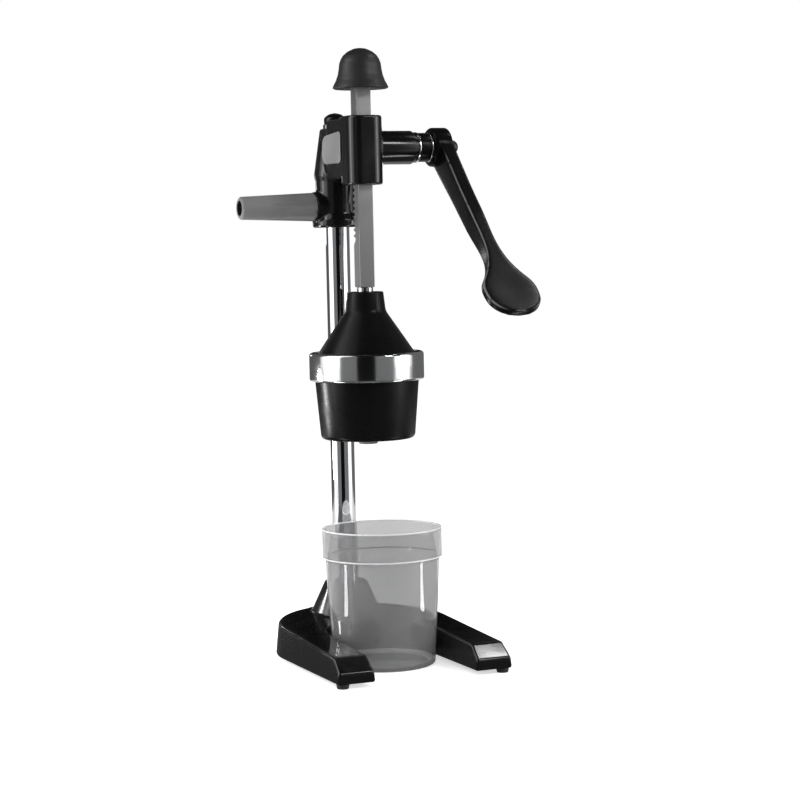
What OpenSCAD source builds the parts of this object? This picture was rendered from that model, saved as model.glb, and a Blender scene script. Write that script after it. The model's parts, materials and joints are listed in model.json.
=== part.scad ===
// Hand cranked rack press for citrus fruit, standing on a horseshoe base.
// Millimetres, Z up, front of the press towards -Y, floor at Z = 0.

/* [Overall] */
// Height from the floor to the top of the knob with the ram down
press_h = 633; // [605:1:670]
// Depth of the crank axis below the top of the knob
crank_drop = 101; // [96:1:108]
// Depth of the pot rim below the top of the knob
pot_drop = 313; // [295:1:340]

/* [Base] */
// Half width of the base at its lower edge
base_half_w = 94.5; // [90:0.5:104]
// Clear gap between the legs at their lower edge
leg_gap = 108; // [106:1:116]
// Distance from the ram axis to the leg fronts
leg_reach = 139.5; // [128:0.5:152]
// Height of the leg top behind the front bevel
leg_h = 29.5; // [26:0.5:34]
// Height of the vertical lip at the leg front
lip_h = 15.7; // [12:0.1:19]
// Height of the base top at its rear edge
rear_h = 42; // [38:0.5:48]
// Wall of the hollow casting
cast_wall = 5; // [4:0.5:6]
// Height of the rubber feet
foot_h = 4.5; // [3:0.5:7]
// Radius of the rubber feet
foot_r = 6.5; // [6:0.25:7.5]
// Height of the column socket above the floor
socket_h = 73; // [66:1:84]

/* [Column] */
// Outside diameter of the column tube
column_d = 25.4; // [24:0.1:26]
// Wall of the column tube
column_wall = 2; // [1.5:0.1:3]
// Distance from the ram axis to the column axis
column_off = 74; // [74:0.5:80]
// Height of the column top above the crank axis
column_up = 26.5; // [24:0.5:40]

/* [Head] */
// Half width of the head and of its rack guide
head_half_w = 19; // [18:0.5:22]
// Distance from the ram axis to the front of the rack guide
guide_front = 20; // [18:0.5:24]
// Height of the rack guide above the crank axis
guide_up = 32; // [31:0.5:38]
// Depth of the rack guide below the crank axis
guide_down = 39; // [35:0.5:44]
// Depth of the column clamp below the crank axis
clamp_down = 82; // [80:1:92]
// Radius of the crank bearing sleeve
sleeve_r = 17.5; // [16.5:0.5:20]
// Length of the crank bearing sleeve outside the head
sleeve_len = 50.5; // [44:0.5:58]

/* [Rack and pinion] */
// Gear module
gear_m = 2; // [1.8:0.1:2.2]
// Teeth on the pinion
pinion_n = 20; // [18:1:22]
// Free play on each tooth flank
tooth_play = 0.3; // [0.2:0.05:0.4]
// Width of the pinion
pinion_w = 20; // [16:1:21]
// Side of the square rack bar
rack_w = 16; // [14:0.5:17]
// Upward travel of the ram
ram_travel = 70; // [50:1:80]
// Free play between rack bar and guide
rack_play = 0.35; // [0.3:0.05:0.6]
// Diameter of the crank shaft
shaft_d = 16; // [14:0.5:17]

/* [Ram] */
// Depth of the bell rim below the pot rim with the ram down
bell_dip = 15.8; // [14:0.2:18]
// Radius of the knob rim
knob_r = 29; // [25:0.5:33]
// Height of the knob
knob_h = 42; // [38:1:48]
// Thickness of the lock nut above the press bell
lock_nut_h = 4.8; // [3:0.2:6]
// Radius of the press bell neck
bell_neck_r = 18.8; // [17:0.2:21]
// Radius of the press bell rim
bell_r = 50.3; // [47:0.1:51]
// Height of the press bell
bell_h = 79; // [74:1:80]

/* [Pot] */
// Depth of the pot outside
pot_depth = 88.7; // [80:0.1:96]
// Radius of the pot at its rim
pot_r = 56.2; // [56:0.1:57.5]
// Radius of the pot at its bottom
pot_low_r = 48.6; // [45:0.1:50]
// Wall of the pot
pot_wall = 3.7; // [3:0.1:4]
// Outer radius of the steel ring
ring_r = 59.4; // [59:0.1:60.5]
// Height of the steel ring
ring_h = 29.1; // [24:0.1:34]
// Sheet thickness of the steel ring and the strainer
sheet = 1.2; // [0.9:0.1:1.5]
// Holes in one ring of the strainer
strainer_n = 20; // [12:1:22]
// Diameter of the strainer holes
strainer_d = 4; // [3:0.2:4.4]
// Radius of the spout nozzle
spout_r = 10.3; // [9:0.1:12]

/* [Crank] */
// Angle of the crank from straight down at rest
crank_angle = 47; // [30:1:60]
// Length of the crank from its axis to the tip
crank_len = 253; // [225:1:275]
// Thickness of the crank arm along its axis
arm_t = 15; // [12:0.5:18]
// Depth of the crank arm from front to back
arm_d = 23.8; // [20:0.2:27]
// Radius of the crank at its hub
hub_r = 20.5; // [19:0.5:23]
// Thickness of the crank hub along its axis
hub_t = 20.2; // [18.5:0.1:24]
// Width of the palm paddle
paddle_w = 59; // [54:1:68]
// Thickness of the palm paddle
paddle_t = 8.5; // [7:0.5:12]

/* [Side handle] */
// Height of the side handle below the crank axis
handle_down = 60; // [56:1:64]
// Length of the side handle grip
grip_len = 82; // [70:1:100]
// Radius of the grip at its root
grip_root_r = 15; // [14:0.2:16]
// Radius of the grip at its end
grip_end_r = 12; // [11:0.2:13.5]

/* [Jar] */
// Height of the jar
jar_h = 142; // [125:1:155]
// Radius of the jar at its rim
jar_rim_r = 61.5; // [58:0.5:63]
// Radius of the jar at its bottom
jar_low_r = 52.5; // [46:0.5:52.5]
// Wall of the jar
jar_wall = 2.4; // [1.8:0.1:3]

/* [Hidden] */
$fn = 96;
// Small radial gap of parts that slide into one another
fit = 0.05;
// Overlap used to cut cleanly through a face
cut = 1;

// Main heights
crank_z = press_h - crank_drop;
column_top = crank_z + column_up;
knob_z = press_h - knob_h;
pot_top = press_h - pot_drop;
bell_rim = pot_top - bell_dip;
bell_top = bell_rim + bell_h;
rack_z = bell_top + lock_nut_h;

// Base outline
draft = 0.1;
bay_half = leg_gap / 2;
jar_gap = 2;
bay_y = jar_gap - 31;
rear_y = column_off - 54;
base_rear = rear_y + base_half_w;
bevel_y = 17.7;
roof = socket_h;
top_slope = atan((rear_h - leg_h) / (base_rear + leg_reach - bevel_y));
bevel_slope = atan((leg_h - lip_h) / bevel_y);
socket_r = 37;
socket_top_r = 22;
socket_floor = foot_h + 5;
front_foot = [base_half_w - 8, -leg_reach + 7.5];
rear_foot = [base_half_w * 0.58, rear_y + base_half_w * 0.58];
feet = [[-front_foot[0], front_foot[1]], front_foot, [-rear_foot[0], rear_foot[1]], rear_foot];
foot_screw_r = 1.5;
foot_head_h = 2;

// Rack and pinion
pitch = PI * gear_m;
pinion_r = gear_m * pinion_n / 2;
pinion_tip = pinion_r + gear_m;
pinion_root = pinion_r - 1.25 * gear_m;
rack_pitch_y = rack_w / 2 - gear_m;
crank_y = rack_pitch_y + pinion_r;
tooth_reach = sqrt(pow(pinion_tip, 2) - pow(pinion_r - gear_m, 2));
teeth_up = ceil((tooth_reach + 2) / pitch);
teeth_down = ceil((tooth_reach + ram_travel + 1) / pitch);
chamber_r = pinion_tip + 0.5;
chamber_x = pinion_w / 2 + 1;
shaft_r = shaft_d / 2;
bush_r = shaft_r + 3;

// Head
guide_top = crank_z + guide_up;
guide_low = crank_z - guide_down;
housing_top = crank_z + chamber_r + 7.5;
housing_low = guide_low + 6;
clamp_low = crank_z - clamp_down;
clamp_top = column_top - 4.5;
clamp_r = column_d / 2 + 9;
guide_round = 14;
flange_r = chamber_r + 6.5;
flange_t = 4;
sleeve_end = head_half_w + sleeve_len;
sleeve_step = 4;
handle_z = crank_z - handle_down;
handle_boss = clamp_r + 5.3;
pinch_low = clamp_low + 18;
pinch_high = clamp_top - 38;
pinch_y = column_off + column_d / 2 + 8;
ear_half = 7.5;
seat_half = ear_half - 0.5;
slot = 3;
bolt_r = 2.5;
bolt_head_r = 4.25;
bolt_head_h = 5;
bolt_tail = 5.5;
key_af = 4;
nut_af = 8;
nut_h = 4;
spot_r = nut_af / 2 / cos(30) + 0.6;
spot_len = 10;
grub_len = 11;
grub_af = 2.6;
screw_r = 1.5;
screw_len = 8;
screw_head_r = 2.7;
screw_head_h = 2.4;
screw_circle = chamber_r + 3.3;
badge_t = 1.2;
badge_round = 4;
badge_front = 14;
badge_rear = 58;
badge_lean = 2;
badge_up = 13;
badge_down = 12;

// Crank stack along X
washer_t = 2;
stack_a = sleeve_end + 0.3;
stack_b = stack_a + washer_t;
stack_c = stack_b + 12.7;
arm_in = stack_c + washer_t;
arm_out = arm_in + hub_t;
arm_x = arm_out - arm_t / 2;
lever_face = arm_d / 2;
paddle_face = lever_face - 4;
drive = shaft_r * 1.4;
nut_in = arm_out + 1.5;
stud_r = 5;

// Side handle
rod_r = 5;
grip_in = handle_boss;
grip_out = grip_in + grip_len;
grip_hole_r = 7.6;
grip_hole = 13;

// Pot, strainer and bell
pot_low = pot_top - pot_depth;
ring_top = pot_top + sheet;
ring_low = ring_top - ring_h;
seat_drop = 19;
seat_z = pot_top - seat_drop;
seat_r = pot_r - pot_wall - 2.6;
strainer_r = pot_r - pot_wall - 0.6;
dome_h = 30;
strainer_top = seat_z + dome_h;
pot_floor = pot_low + 6;
pot_collar_r = column_d / 2 + 5.8;
pot_collar_low = pot_low + 8;
pot_collar_top = ring_low - 5;
pot_pinch_z = (pot_collar_low + pot_collar_top) / 2;
pot_pinch_y = pinch_y;
bell_wall = 5;
spigot_r = 6;
spigot_low = bell_rim + 33;
ceiling = bell_rim + 42;

// Jar
jar_y = bay_y - jar_gap;
jar_band = 30;

// Placing of the whole press over the middle of its outline
x_right = arm_x + paddle_w / 2;
y_front = crank_y - crank_len * sin(crank_angle) - paddle_face * cos(crank_angle);
ram_x = (grip_out - x_right) / 2;
ram_y = -(base_rear + min(y_front, -leg_reach)) / 2;

module placed() {
    translate([ram_x, ram_y, 0]) children();
}

module on_crank() {
    placed() translate([0, crank_y, crank_z]) rotate([90, 0, 90]) children();
}

module x_rod(r, x0, x1) {
    translate([0, 0, x0]) cylinder(r = r, h = x1 - x0);
}

module tube(ro, ri, h) {
    difference() {
        cylinder(r = ro, h = h);
        translate([0, 0, -cut]) cylinder(r = ri, h = h + 2 * cut);
    }
}

module hex(af, h) {
    cylinder(r = af / sqrt(3), h = h, $fn = 6);
}

module base_outer(i) {
    low = base_half_w - i;
    high = low - draft * (roof - foot_h);
    translate([0, rear_y, 0]) rotate([90, 0, 0]) linear_extrude(leg_reach + rear_y - i)
        polygon([[-low, foot_h], [low, foot_h], [high, roof], [-high, roof]]);
    translate([0, rear_y, foot_h]) cylinder(r1 = low, r2 = high, h = roof - foot_h);
}

module jar_bay(i) {
    low = bay_half + i - draft * cut;
    high = low + draft * (roof + 2 * cut - foot_h);
    translate([0, bay_y, 0]) rotate([90, 0, 0]) linear_extrude(leg_reach + bay_y + 20)
        polygon([[-low, foot_h - cut], [low, foot_h - cut], [high, roof + cut], [-high, roof + cut]]);
    translate([0, bay_y, foot_h - cut]) cylinder(r1 = low, r2 = high, h = roof + 2 * cut - foot_h);
}

module above_base(drop) {
    translate([0, bevel_y - leg_reach, leg_h - drop]) rotate([top_slope, 0, 0])
        translate([-200, -100, 0]) cube([400, 600, 200]);
    translate([0, -leg_reach, lip_h - drop]) rotate([bevel_slope, 0, 0])
        translate([-200, -100, 0]) cube([400, 300, 200]);
}

module base_shell(i) {
    difference() {
        base_outer(i);
        jar_bay(i);
        above_base(i);
    }
}

module base_casting() {
    color([0.05, 0.05, 0.05]) placed() difference() {
        union() {
            difference() {
                base_shell(0);
                translate([0, 0, -0.01]) base_shell(cast_wall);
            }
            translate([0, column_off, rear_h - 6])
                cylinder(r1 = socket_r + 2, r2 = socket_top_r, h = socket_h - rear_h + 6);
            translate([0, column_off, foot_h]) cylinder(r = column_d / 2 + 7, h = rear_h - foot_h);
            for (f = feet) {
                boss_top = f[1] > 0 ? rear_h - 5 : lip_h + 4;
                translate([f[0], f[1], foot_h]) cylinder(r = foot_r, h = boss_top - foot_h);
            }
        }
        translate([0, column_off, socket_floor]) cylinder(r = column_d / 2 + fit, h = socket_h);
        for (f = feet) {
            translate([f[0], f[1], foot_h - cut]) cylinder(r = foot_screw_r + fit, h = lip_h - foot_h - 1);
        }
        for (a = [-38, 38]) {
            translate([0, column_off, socket_h - 13]) rotate([-90, 0, a])
                cylinder(r = bolt_r + fit, h = socket_r + 20);
        }
    }
}

module rubber_feet() {
    color([0.08, 0.08, 0.08]) placed() for (f = feet) {
        translate([f[0], f[1], 0]) difference() {
            cylinder(r1 = foot_r - 0.8, r2 = foot_r, h = foot_h);
            translate([0, 0, -cut]) cylinder(r = 2 * foot_screw_r + 0.3, h = cut + foot_head_h + 0.6);
            cylinder(r = foot_screw_r + fit, h = foot_h + cut);
        }
    }
}

module foot_screws() {
    color([0.75, 0.75, 0.75]) placed() for (f = feet) {
        translate([f[0], f[1], 0.6]) {
            difference() {
                cylinder(r = 2 * foot_screw_r, h = foot_head_h);
                translate([-0.5, -3, -cut]) cube([1, 6, cut + 0.8]);
            }
            cylinder(r = foot_screw_r, h = lip_h - 3);
        }
    }
}

module column_tube() {
    color([0.85, 0.86, 0.88]) placed() translate([0, column_off, socket_floor])
        tube(column_d / 2, column_d / 2 - column_wall, column_top - socket_floor);
}

module column_grub_screws() {
    color([0.2, 0.2, 0.2]) placed() for (a = [-38, 38]) {
        translate([0, column_off, socket_h - 13]) rotate([-90, 0, a]) difference() {
            translate([0, 0, column_d / 2]) cylinder(r = bolt_r, h = grub_len);
            translate([0, 0, column_d / 2 + grub_len - bolt_r]) hex(grub_af, bolt_r + cut);
        }
    }
}

module column_cap() {
    r = column_d / 2 - column_wall;
    color([0.04, 0.04, 0.04]) placed() translate([0, column_off, column_top]) rotate_extrude() {
        difference() {
            union() {
                square([r + 0.8, 7]);
                translate([0, 7]) intersection() {
                    translate([0, -14.4]) circle(r = 19.4);
                    square([r + 0.8, 20]);
                }
                translate([0, -12]) square([r - fit, 12]);
            }
            translate([-1, -13]) square([r - 1, 14]);
        }
    }
}

module clamp_profile() {
    rb = column_d / 2;
    polygon([[rb, clamp_low], [clamp_r + 2.8, clamp_low], [clamp_r + 4.3, clamp_low + 2],
        [clamp_r + 4.3, clamp_low + 8], [clamp_r + 1, clamp_low + 15], [clamp_r, clamp_low + 25],
        [clamp_r + 0.6, crank_z - 33], [clamp_r + 1.8, crank_z - 27], [rb + 3.6, clamp_top - 1.5],
        [rb + 2.4, clamp_top], [rb, clamp_top]]);
}

// Bolt hole across a split clamp, with a spot face for the head and one for the nut
module pinch_hole() {
    rotate([0, 90, 0]) {
        translate([0, 0, -40]) cylinder(r = bolt_r + fit, h = 80);
        translate([0, 0, seat_half]) cylinder(r = spot_r, h = spot_len);
        translate([0, 0, -seat_half - spot_len]) cylinder(r = spot_r, h = spot_len);
    }
}

module pinch_bolt() {
    shank = 2 * seat_half + bolt_tail;
    translate([seat_half, 0, 0]) rotate([0, 90, 0]) {
        difference() {
            cylinder(r = bolt_head_r, h = bolt_head_h);
            translate([0, 0, bolt_head_h / 2]) hex(key_af, bolt_head_h);
        }
        translate([0, 0, -shank]) cylinder(r = bolt_r, h = shank);
    }
}

module pinch_nut() {
    translate([-seat_half, 0, 0]) rotate([0, -90, 0]) difference() {
        hex(nut_af, nut_h);
        translate([0, 0, -cut]) cylinder(r = bolt_r + fit, h = nut_h + 2 * cut);
    }
}

module guide_plan() {
    r = guide_round;
    translate([-head_half_w, r - guide_front]) square([2 * head_half_w, guide_front + 12]);
    translate([r - head_half_w, -guide_front]) square([2 * (head_half_w - r), r + 1]);
    for (s = [-1, 1]) {
        translate([s * (head_half_w - r), r - guide_front]) circle(r = r);
    }
}

module head_casting() {
    rack_half = rack_w / 2 + rack_play;
    color([0.04, 0.04, 0.04]) placed() difference() {
        union() {
            translate([0, column_off, 0]) rotate_extrude() clamp_profile();
            translate([0, 0, guide_low]) linear_extrude(guide_top - guide_low) guide_plan();
            translate([-head_half_w, 0, housing_low])
                cube([2 * head_half_w, crank_y + chamber_r + 6, housing_top - housing_low]);
            translate([1 - head_half_w, 10, housing_low + 6])
                cube([2 * head_half_w - 2, column_off - 10, housing_top - housing_low - 14]);
            translate([-handle_boss, column_off, handle_z]) rotate([0, 90, 0])
                cylinder(r1 = grip_root_r + 0.8, r2 = grip_root_r + 1.6, h = handle_boss - 6);
            translate([-ear_half, column_off + 6, clamp_low + 8])
                cube([2 * ear_half, pinch_y + 7 - column_off - 6, clamp_top - clamp_low - 20]);
        }
        translate([0, column_off, clamp_low - cut])
            cylinder(r = column_d / 2 + fit, h = clamp_top - clamp_low + 30);
        translate([-slot / 2, column_off, clamp_low - cut])
            cube([slot, 60, clamp_top - clamp_low + 2 * cut]);
        translate([-rack_half, -rack_half, guide_low - cut])
            cube([2 * rack_half, 2 * rack_half, guide_top - guide_low + 2 * cut]);
        translate([-6, -rack_half - 2.2, guide_low + 5])
            cube([12, 3, guide_top - guide_low - 10]);
        translate([0, crank_y, crank_z]) rotate([90, 0, 90]) {
            x_rod(chamber_r, -chamber_x, head_half_w + cut);
            x_rod(bush_r + fit, -head_half_w - cut, 0);
            for (a = [45 : 90 : 315]) {
                rotate(a) translate([screw_circle, 0, 0])
                    x_rod(screw_r + fit, head_half_w - screw_len - cut, head_half_w + cut);
            }
        }
        translate([0, column_off, handle_z]) rotate([0, -90, 0])
            cylinder(r = rod_r + fit, h = handle_boss + cut);
        for (z = [pinch_low, pinch_high]) {
            translate([0, pinch_y, z]) pinch_hole();
        }
    }
}

module badge_shape() {
    hull() {
        translate([badge_front, crank_z - badge_down]) circle(r = badge_round);
        translate([badge_front, crank_z + badge_up]) circle(r = badge_round);
        translate([badge_rear - badge_lean, crank_z + badge_up - badge_round]) circle(r = badge_round);
        translate([badge_rear + badge_lean, crank_z - badge_down]) circle(r = badge_round);
    }
}

module badge_plate() {
    color([0.5, 0.5, 0.5]) placed() translate([-head_half_w - badge_t, 0, 0]) rotate([90, 0, 90])
        linear_extrude(badge_t) badge_shape();
}

module head_pinch_bolts() {
    color([0.1, 0.1, 0.1]) placed() for (z = [pinch_low, pinch_high]) {
        translate([0, pinch_y, z]) pinch_bolt();
    }
}

module head_pinch_nuts() {
    color([0.7, 0.7, 0.7]) placed() for (z = [pinch_low, pinch_high]) {
        translate([0, pinch_y, z]) pinch_nut();
    }
}

module bearing_sleeve() {
    color([0.05, 0.05, 0.05]) on_crank() difference() {
        union() {
            x_rod(chamber_r - fit, chamber_x + 0.6, head_half_w + 1);
            x_rod(flange_r, head_half_w, head_half_w + flange_t);
            x_rod(sleeve_r, head_half_w, sleeve_end - sleeve_step);
            x_rod(sleeve_r - 1.8, head_half_w, sleeve_end);
        }
        x_rod(bush_r + fit, 0, sleeve_end + cut);
        for (a = [45 : 90 : 315]) {
            rotate(a) translate([screw_circle, 0, 0])
                x_rod(screw_r + fit, 0, head_half_w + flange_t + cut);
        }
    }
}

module sleeve_screws() {
    seat = head_half_w + flange_t;
    color([0.6, 0.6, 0.6]) on_crank() for (a = [45 : 90 : 315]) {
        rotate(a) translate([screw_circle, 0, 0]) {
            x_rod(screw_r, head_half_w - screw_len, seat + screw_head_h / 2);
            difference() {
                x_rod(screw_head_r, seat, seat + screw_head_h);
                translate([0, 0, seat + screw_head_h / 2]) hex(2 * screw_r - 0.5, screw_head_h);
            }
        }
    }
}

module bush_left() {
    color([0.7, 0.5, 0.25]) on_crank() translate([0, 0, -head_half_w])
        tube(bush_r, shaft_r + fit, head_half_w - chamber_x);
}

module bush_right() {
    color([0.7, 0.5, 0.25]) on_crank() translate([0, 0, chamber_x + 0.6])
        tube(bush_r, shaft_r + fit, sleeve_end - chamber_x - 0.6);
}

module rack_gib() {
    y = -rack_w / 2 - rack_play;
    color([0.75, 0.6, 0.3]) placed() translate([-6 + fit, y - 2.2, guide_low + 5])
        cube([12 - 2 * fit, 2.2, guide_top - guide_low - 10]);
}

module on_handle() {
    placed() translate([0, column_off, handle_z]) rotate([0, -90, 0]) children();
}

module handle_rod() {
    color([0.7, 0.7, 0.7]) on_handle() translate([0, 0, column_d / 2])
        cylinder(r = rod_r, h = grip_out - grip_hole + 7 - column_d / 2);
}

module handle_grip() {
    color([0.42, 0.42, 0.43]) on_handle() translate([0, 0, grip_in]) difference() {
        union() {
            cylinder(r1 = grip_root_r, r2 = grip_end_r, h = grip_len - 2);
            translate([0, 0, grip_len - 2]) cylinder(r1 = grip_end_r, r2 = grip_end_r - 1.5, h = 2);
        }
        translate([0, 0, -cut]) cylinder(r = rod_r + fit, h = grip_len);
        translate([0, 0, grip_len - grip_hole]) cylinder(r = grip_hole_r, h = grip_hole + cut);
    }
}

module handle_nut() {
    color([0.3, 0.3, 0.3]) on_handle() translate([0, 0, grip_out - grip_hole]) difference() {
        hex(12.6, 5);
        translate([0, 0, -cut]) cylinder(r = rod_r + fit, h = 8);
    }
}

module pot_outside() {
    f = 5;
    polygon([[0, pot_low], [pot_low_r - f, pot_low], [pot_low_r, pot_low + f],
        [pot_r, pot_top], [0, pot_top]]);
    translate([pot_low_r - f, pot_low + f]) circle(r = f);
}

module pot_inside() {
    low_r = pot_low_r - pot_wall;
    polygon([[0, pot_floor], [low_r - 5, pot_floor + 5], [low_r, pot_floor + 10], [seat_r, seat_z],
        [strainer_r + 0.3, seat_z], [strainer_r + 0.6, pot_top + cut], [0, pot_top + cut]]);
}

module pot_bracket() {
    h = pot_collar_top - pot_collar_low;
    difference() {
        union() {
            translate([0, column_off, pot_collar_low]) cylinder(r = pot_collar_r, h = h);
            translate([-13, 40, pot_collar_low + 4]) cube([26, column_off - 52, h - 8]);
            translate([-ear_half, column_off + 6, pot_collar_low + 6])
                cube([2 * ear_half, pot_pinch_y + 1 - column_off, h - 12]);
        }
        rotate_extrude() pot_inside();
        rotate_extrude() polygon([[0, pot_low], [pot_low_r - pot_wall, pot_low],
            [seat_r + 1, pot_top], [0, pot_top]]);
    }
}

module pot_casting() {
    h = pot_collar_top - pot_collar_low + 2 * cut;
    color([0.05, 0.05, 0.05]) placed() difference() {
        union() {
            rotate_extrude() difference() {
                intersection() {
                    pot_outside();
                    translate([0, pot_low - cut]) square([100, pot_depth + 2 * cut]);
                }
                pot_inside();
            }
            pot_bracket();
        }
        translate([0, column_off, pot_collar_low - cut]) cylinder(r = column_d / 2 + fit, h = h);
        translate([-slot / 2, column_off, pot_collar_low - cut]) cube([slot, 60, h]);
        translate([0, pot_pinch_y, pot_pinch_z]) pinch_hole();
        translate([0, 0, pot_low - cut]) cylinder(r = spout_r - 2.5 + fit, h = 20);
    }
}

module pot_pinch_bolt() {
    color([0.1, 0.1, 0.1]) placed() translate([0, pot_pinch_y, pot_pinch_z]) pinch_bolt();
}

module pot_pinch_nut() {
    color([0.7, 0.7, 0.7]) placed() translate([0, pot_pinch_y, pot_pinch_z]) pinch_nut();
}

module ring_outline(i) {
    r = 3.2 - i;
    x1 = ring_r - i;
    z0 = ring_low + i;
    z1 = ring_top - i;
    translate([40, z0]) square([x1 - r - 40, z1 - z0]);
    translate([40, z0 + r]) square([x1 - 40, z1 - z0 - 2 * r]);
    translate([x1 - r, z0 + r]) circle(r = r);
    translate([x1 - r, z1 - r]) circle(r = r);
}

module steel_ring() {
    low_in = pot_low_r + (pot_r - pot_low_r) * (ring_low + sheet - pot_low) / pot_depth + 0.3;
    color([0.8, 0.81, 0.83]) placed() rotate_extrude() difference() {
        ring_outline(0);
        ring_outline(sheet);
        translate([0, ring_low - cut]) square([low_in, ring_h / 2]);
        translate([0, ring_low + ring_h / 2 - 2 * cut]) square([strainer_r + 0.6, ring_h]);
    }
}

module strainer_outline() {
    polygon([[0, strainer_top], [7, strainer_top - 1.5], [strainer_r - 7, seat_z + sheet + 1],
        [strainer_r, seat_z + sheet], [strainer_r, seat_z], [strainer_r - 8, seat_z],
        [6.4, strainer_top - 1.5 - sheet], [0, strainer_top - sheet]]);
}

module strainer() {
    lean = atan((strainer_top - 2.5 - seat_z - sheet) / (strainer_r - 14));
    color([0.8, 0.81, 0.83]) placed() difference() {
        rotate_extrude() strainer_outline();
        for (ringed = [0.42, 0.64, 0.86]) {
            r = (strainer_r - 7) * ringed;
            z = seat_z + (1 - ringed) * (strainer_top - seat_z);
            for (a = [0 : 360 / strainer_n : 359]) {
                rotate(a + ringed * 100) translate([r, 0, z]) rotate([0, lean, 0])
                    cylinder(r = strainer_d / 2, h = 3.5 * strainer_d, center = true);
            }
        }
    }
}

module spout_nozzle() {
    color([0.45, 0.45, 0.46]) placed() translate([0, 0, pot_low]) difference() {
        union() {
            translate([0, 0, -5.5]) cylinder(r1 = spout_r - 0.6, r2 = spout_r, h = 5.5);
            cylinder(r = spout_r - 2.5, h = pot_floor - pot_low - 0.6);
        }
        translate([0, 0, -20]) cylinder(r = spout_r - 4, h = 40);
    }
}

function rack_tooth(z) = let (t = pitch / 4 - tooth_play / 2, k = tan(20))
    [[rack_pitch_y - 1.25 * gear_m, z - t - 1.25 * gear_m * k], [rack_pitch_y + gear_m, z - t + gear_m * k],
    [rack_pitch_y + gear_m, z + t - gear_m * k], [rack_pitch_y - 1.25 * gear_m, z + t + 1.25 * gear_m * k]];

module rack_side() {
    h = rack_w / 2;
    root = rack_pitch_y - 1.25 * gear_m;
    low = crank_z - (teeth_down + 1) * pitch;
    high = crank_z + (teeth_up + 1) * pitch;
    teeth = [for (k = [-teeth_down : teeth_up - 1]) each rack_tooth(crank_z + (k + 0.5) * pitch)];
    polygon(concat([[-h, rack_z], [h, rack_z], [h, low], [root, low + 5]], teeth,
        [[root, high - 5], [h, high], [h, knob_z + 16], [-h, knob_z + 16]]));
}

module rack_bar() {
    color([0.45, 0.45, 0.46]) placed() {
        translate([-rack_w / 2, 0, 0]) rotate([90, 0, 90]) linear_extrude(rack_w) rack_side();
        translate([0, 0, spigot_low]) cylinder(r = spigot_r, h = rack_z - spigot_low + cut);
        translate([0, 0, knob_z + 15]) cylinder(r = 4, h = 15);
    }
}

function knob_at(f, r) = [knob_r * r, knob_z + knob_h * f];

module top_knob() {
    color([0.06, 0.06, 0.06]) placed() difference() {
        rotate_extrude() polygon([knob_at(0.05, 0), knob_at(0.05, 0.72), knob_at(0, 0.93),
            knob_at(0.045, 1), knob_at(0.12, 0.935), knob_at(0.2, 0.875), knob_at(0.34, 0.8),
            knob_at(0.48, 0.76), knob_at(0.62, 0.735), knob_at(0.72, 0.685), knob_at(0.8, 0.62),
            knob_at(0.88, 0.5), knob_at(0.95, 0.33), knob_at(1, 0.0)]);
        translate([-rack_w / 2, -rack_w / 2, knob_z - cut]) cube([rack_w, rack_w, 16 + cut]);
        translate([0, 0, knob_z + 10]) cylinder(r = 4 + fit, h = 20.5);
    }
}

module bell_lock_nut() {
    color([0.8, 0.8, 0.82]) placed() translate([0, 0, bell_top]) difference() {
        cylinder(r = 8.4, h = lock_nut_h);
        translate([0, 0, -cut]) cylinder(r = spigot_r + fit, h = lock_nut_h + 2 * cut);
    }
}

module bell_shape() {
    flare = bell_top - 20;
    polygon([[spigot_r + fit, bell_top], [bell_neck_r - 1.2, bell_top], [bell_neck_r, bell_top - 1.2],
        [bell_neck_r + 2.2, flare], [bell_r - 0.7, bell_rim + 17], [bell_r, bell_rim + 15],
        [bell_r, bell_rim + 1.5], [bell_r - 1.2, bell_rim], [bell_r - bell_wall, bell_rim],
        [bell_r - bell_wall, bell_rim + 6], [12, ceiling], [spigot_r + fit, ceiling]]);
}

module press_bell() {
    inner_r = bell_r - bell_wall;
    color([0.05, 0.05, 0.05]) placed() {
        rotate_extrude() bell_shape();
        for (a = [22.5 : 45 : 340]) {
            rotate(a) rotate([90, 0, 0]) translate([0, 0, -1.25]) linear_extrude(2.5)
                polygon([[11.5, ceiling + 1], [14, ceiling - 6], [inner_r - 4, bell_rim + 5],
                    [inner_r + 1, bell_rim + 4], [inner_r + 1, bell_rim + 8], [13, ceiling + 1]]);
        }
    }
}

module bell_cap_nut() {
    color([0.8, 0.8, 0.82]) placed() translate([0, 0, ceiling - 7]) difference() {
        hex(17, 7);
        translate([0, 0, -cut]) cylinder(r = spigot_r + fit, h = 9);
    }
}

module pinion_shaft() {
    color([0.6, 0.6, 0.62]) on_crank() difference() {
        union() {
            x_rod(shaft_r, -head_half_w + 0.4, arm_in);
            translate([-drive / 2, -drive / 2, arm_in - cut]) cube([drive, drive, hub_t + cut]);
            x_rod(stud_r, arm_in, nut_in + 6);
        }
        translate([shaft_r - 2.5, -2.5, -pinion_w / 2]) cube([4, 5, pinion_w]);
    }
}

function involute(a) = tan(a) * 180 / PI - a;
base_circle = pinion_r * cos(20);
half_tooth = 90 / pinion_n - tooth_play / 2 / pinion_r * 180 / PI + involute(20);
function flank(i) = let (r = base_circle + (pinion_tip - base_circle) * i / 5)
    [r, half_tooth - involute(acos(base_circle / r))];
function polar(r, a) = [r * cos(a), r * sin(a)];
function gear_tooth(c) = concat([polar(pinion_root, c - half_tooth)],
    [for (i = [0 : 5]) polar(flank(i)[0], c - flank(i)[1])],
    [for (i = [5 : -1 : 0]) polar(flank(i)[0], c + flank(i)[1])],
    [polar(pinion_root, c + half_tooth)]);

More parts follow.
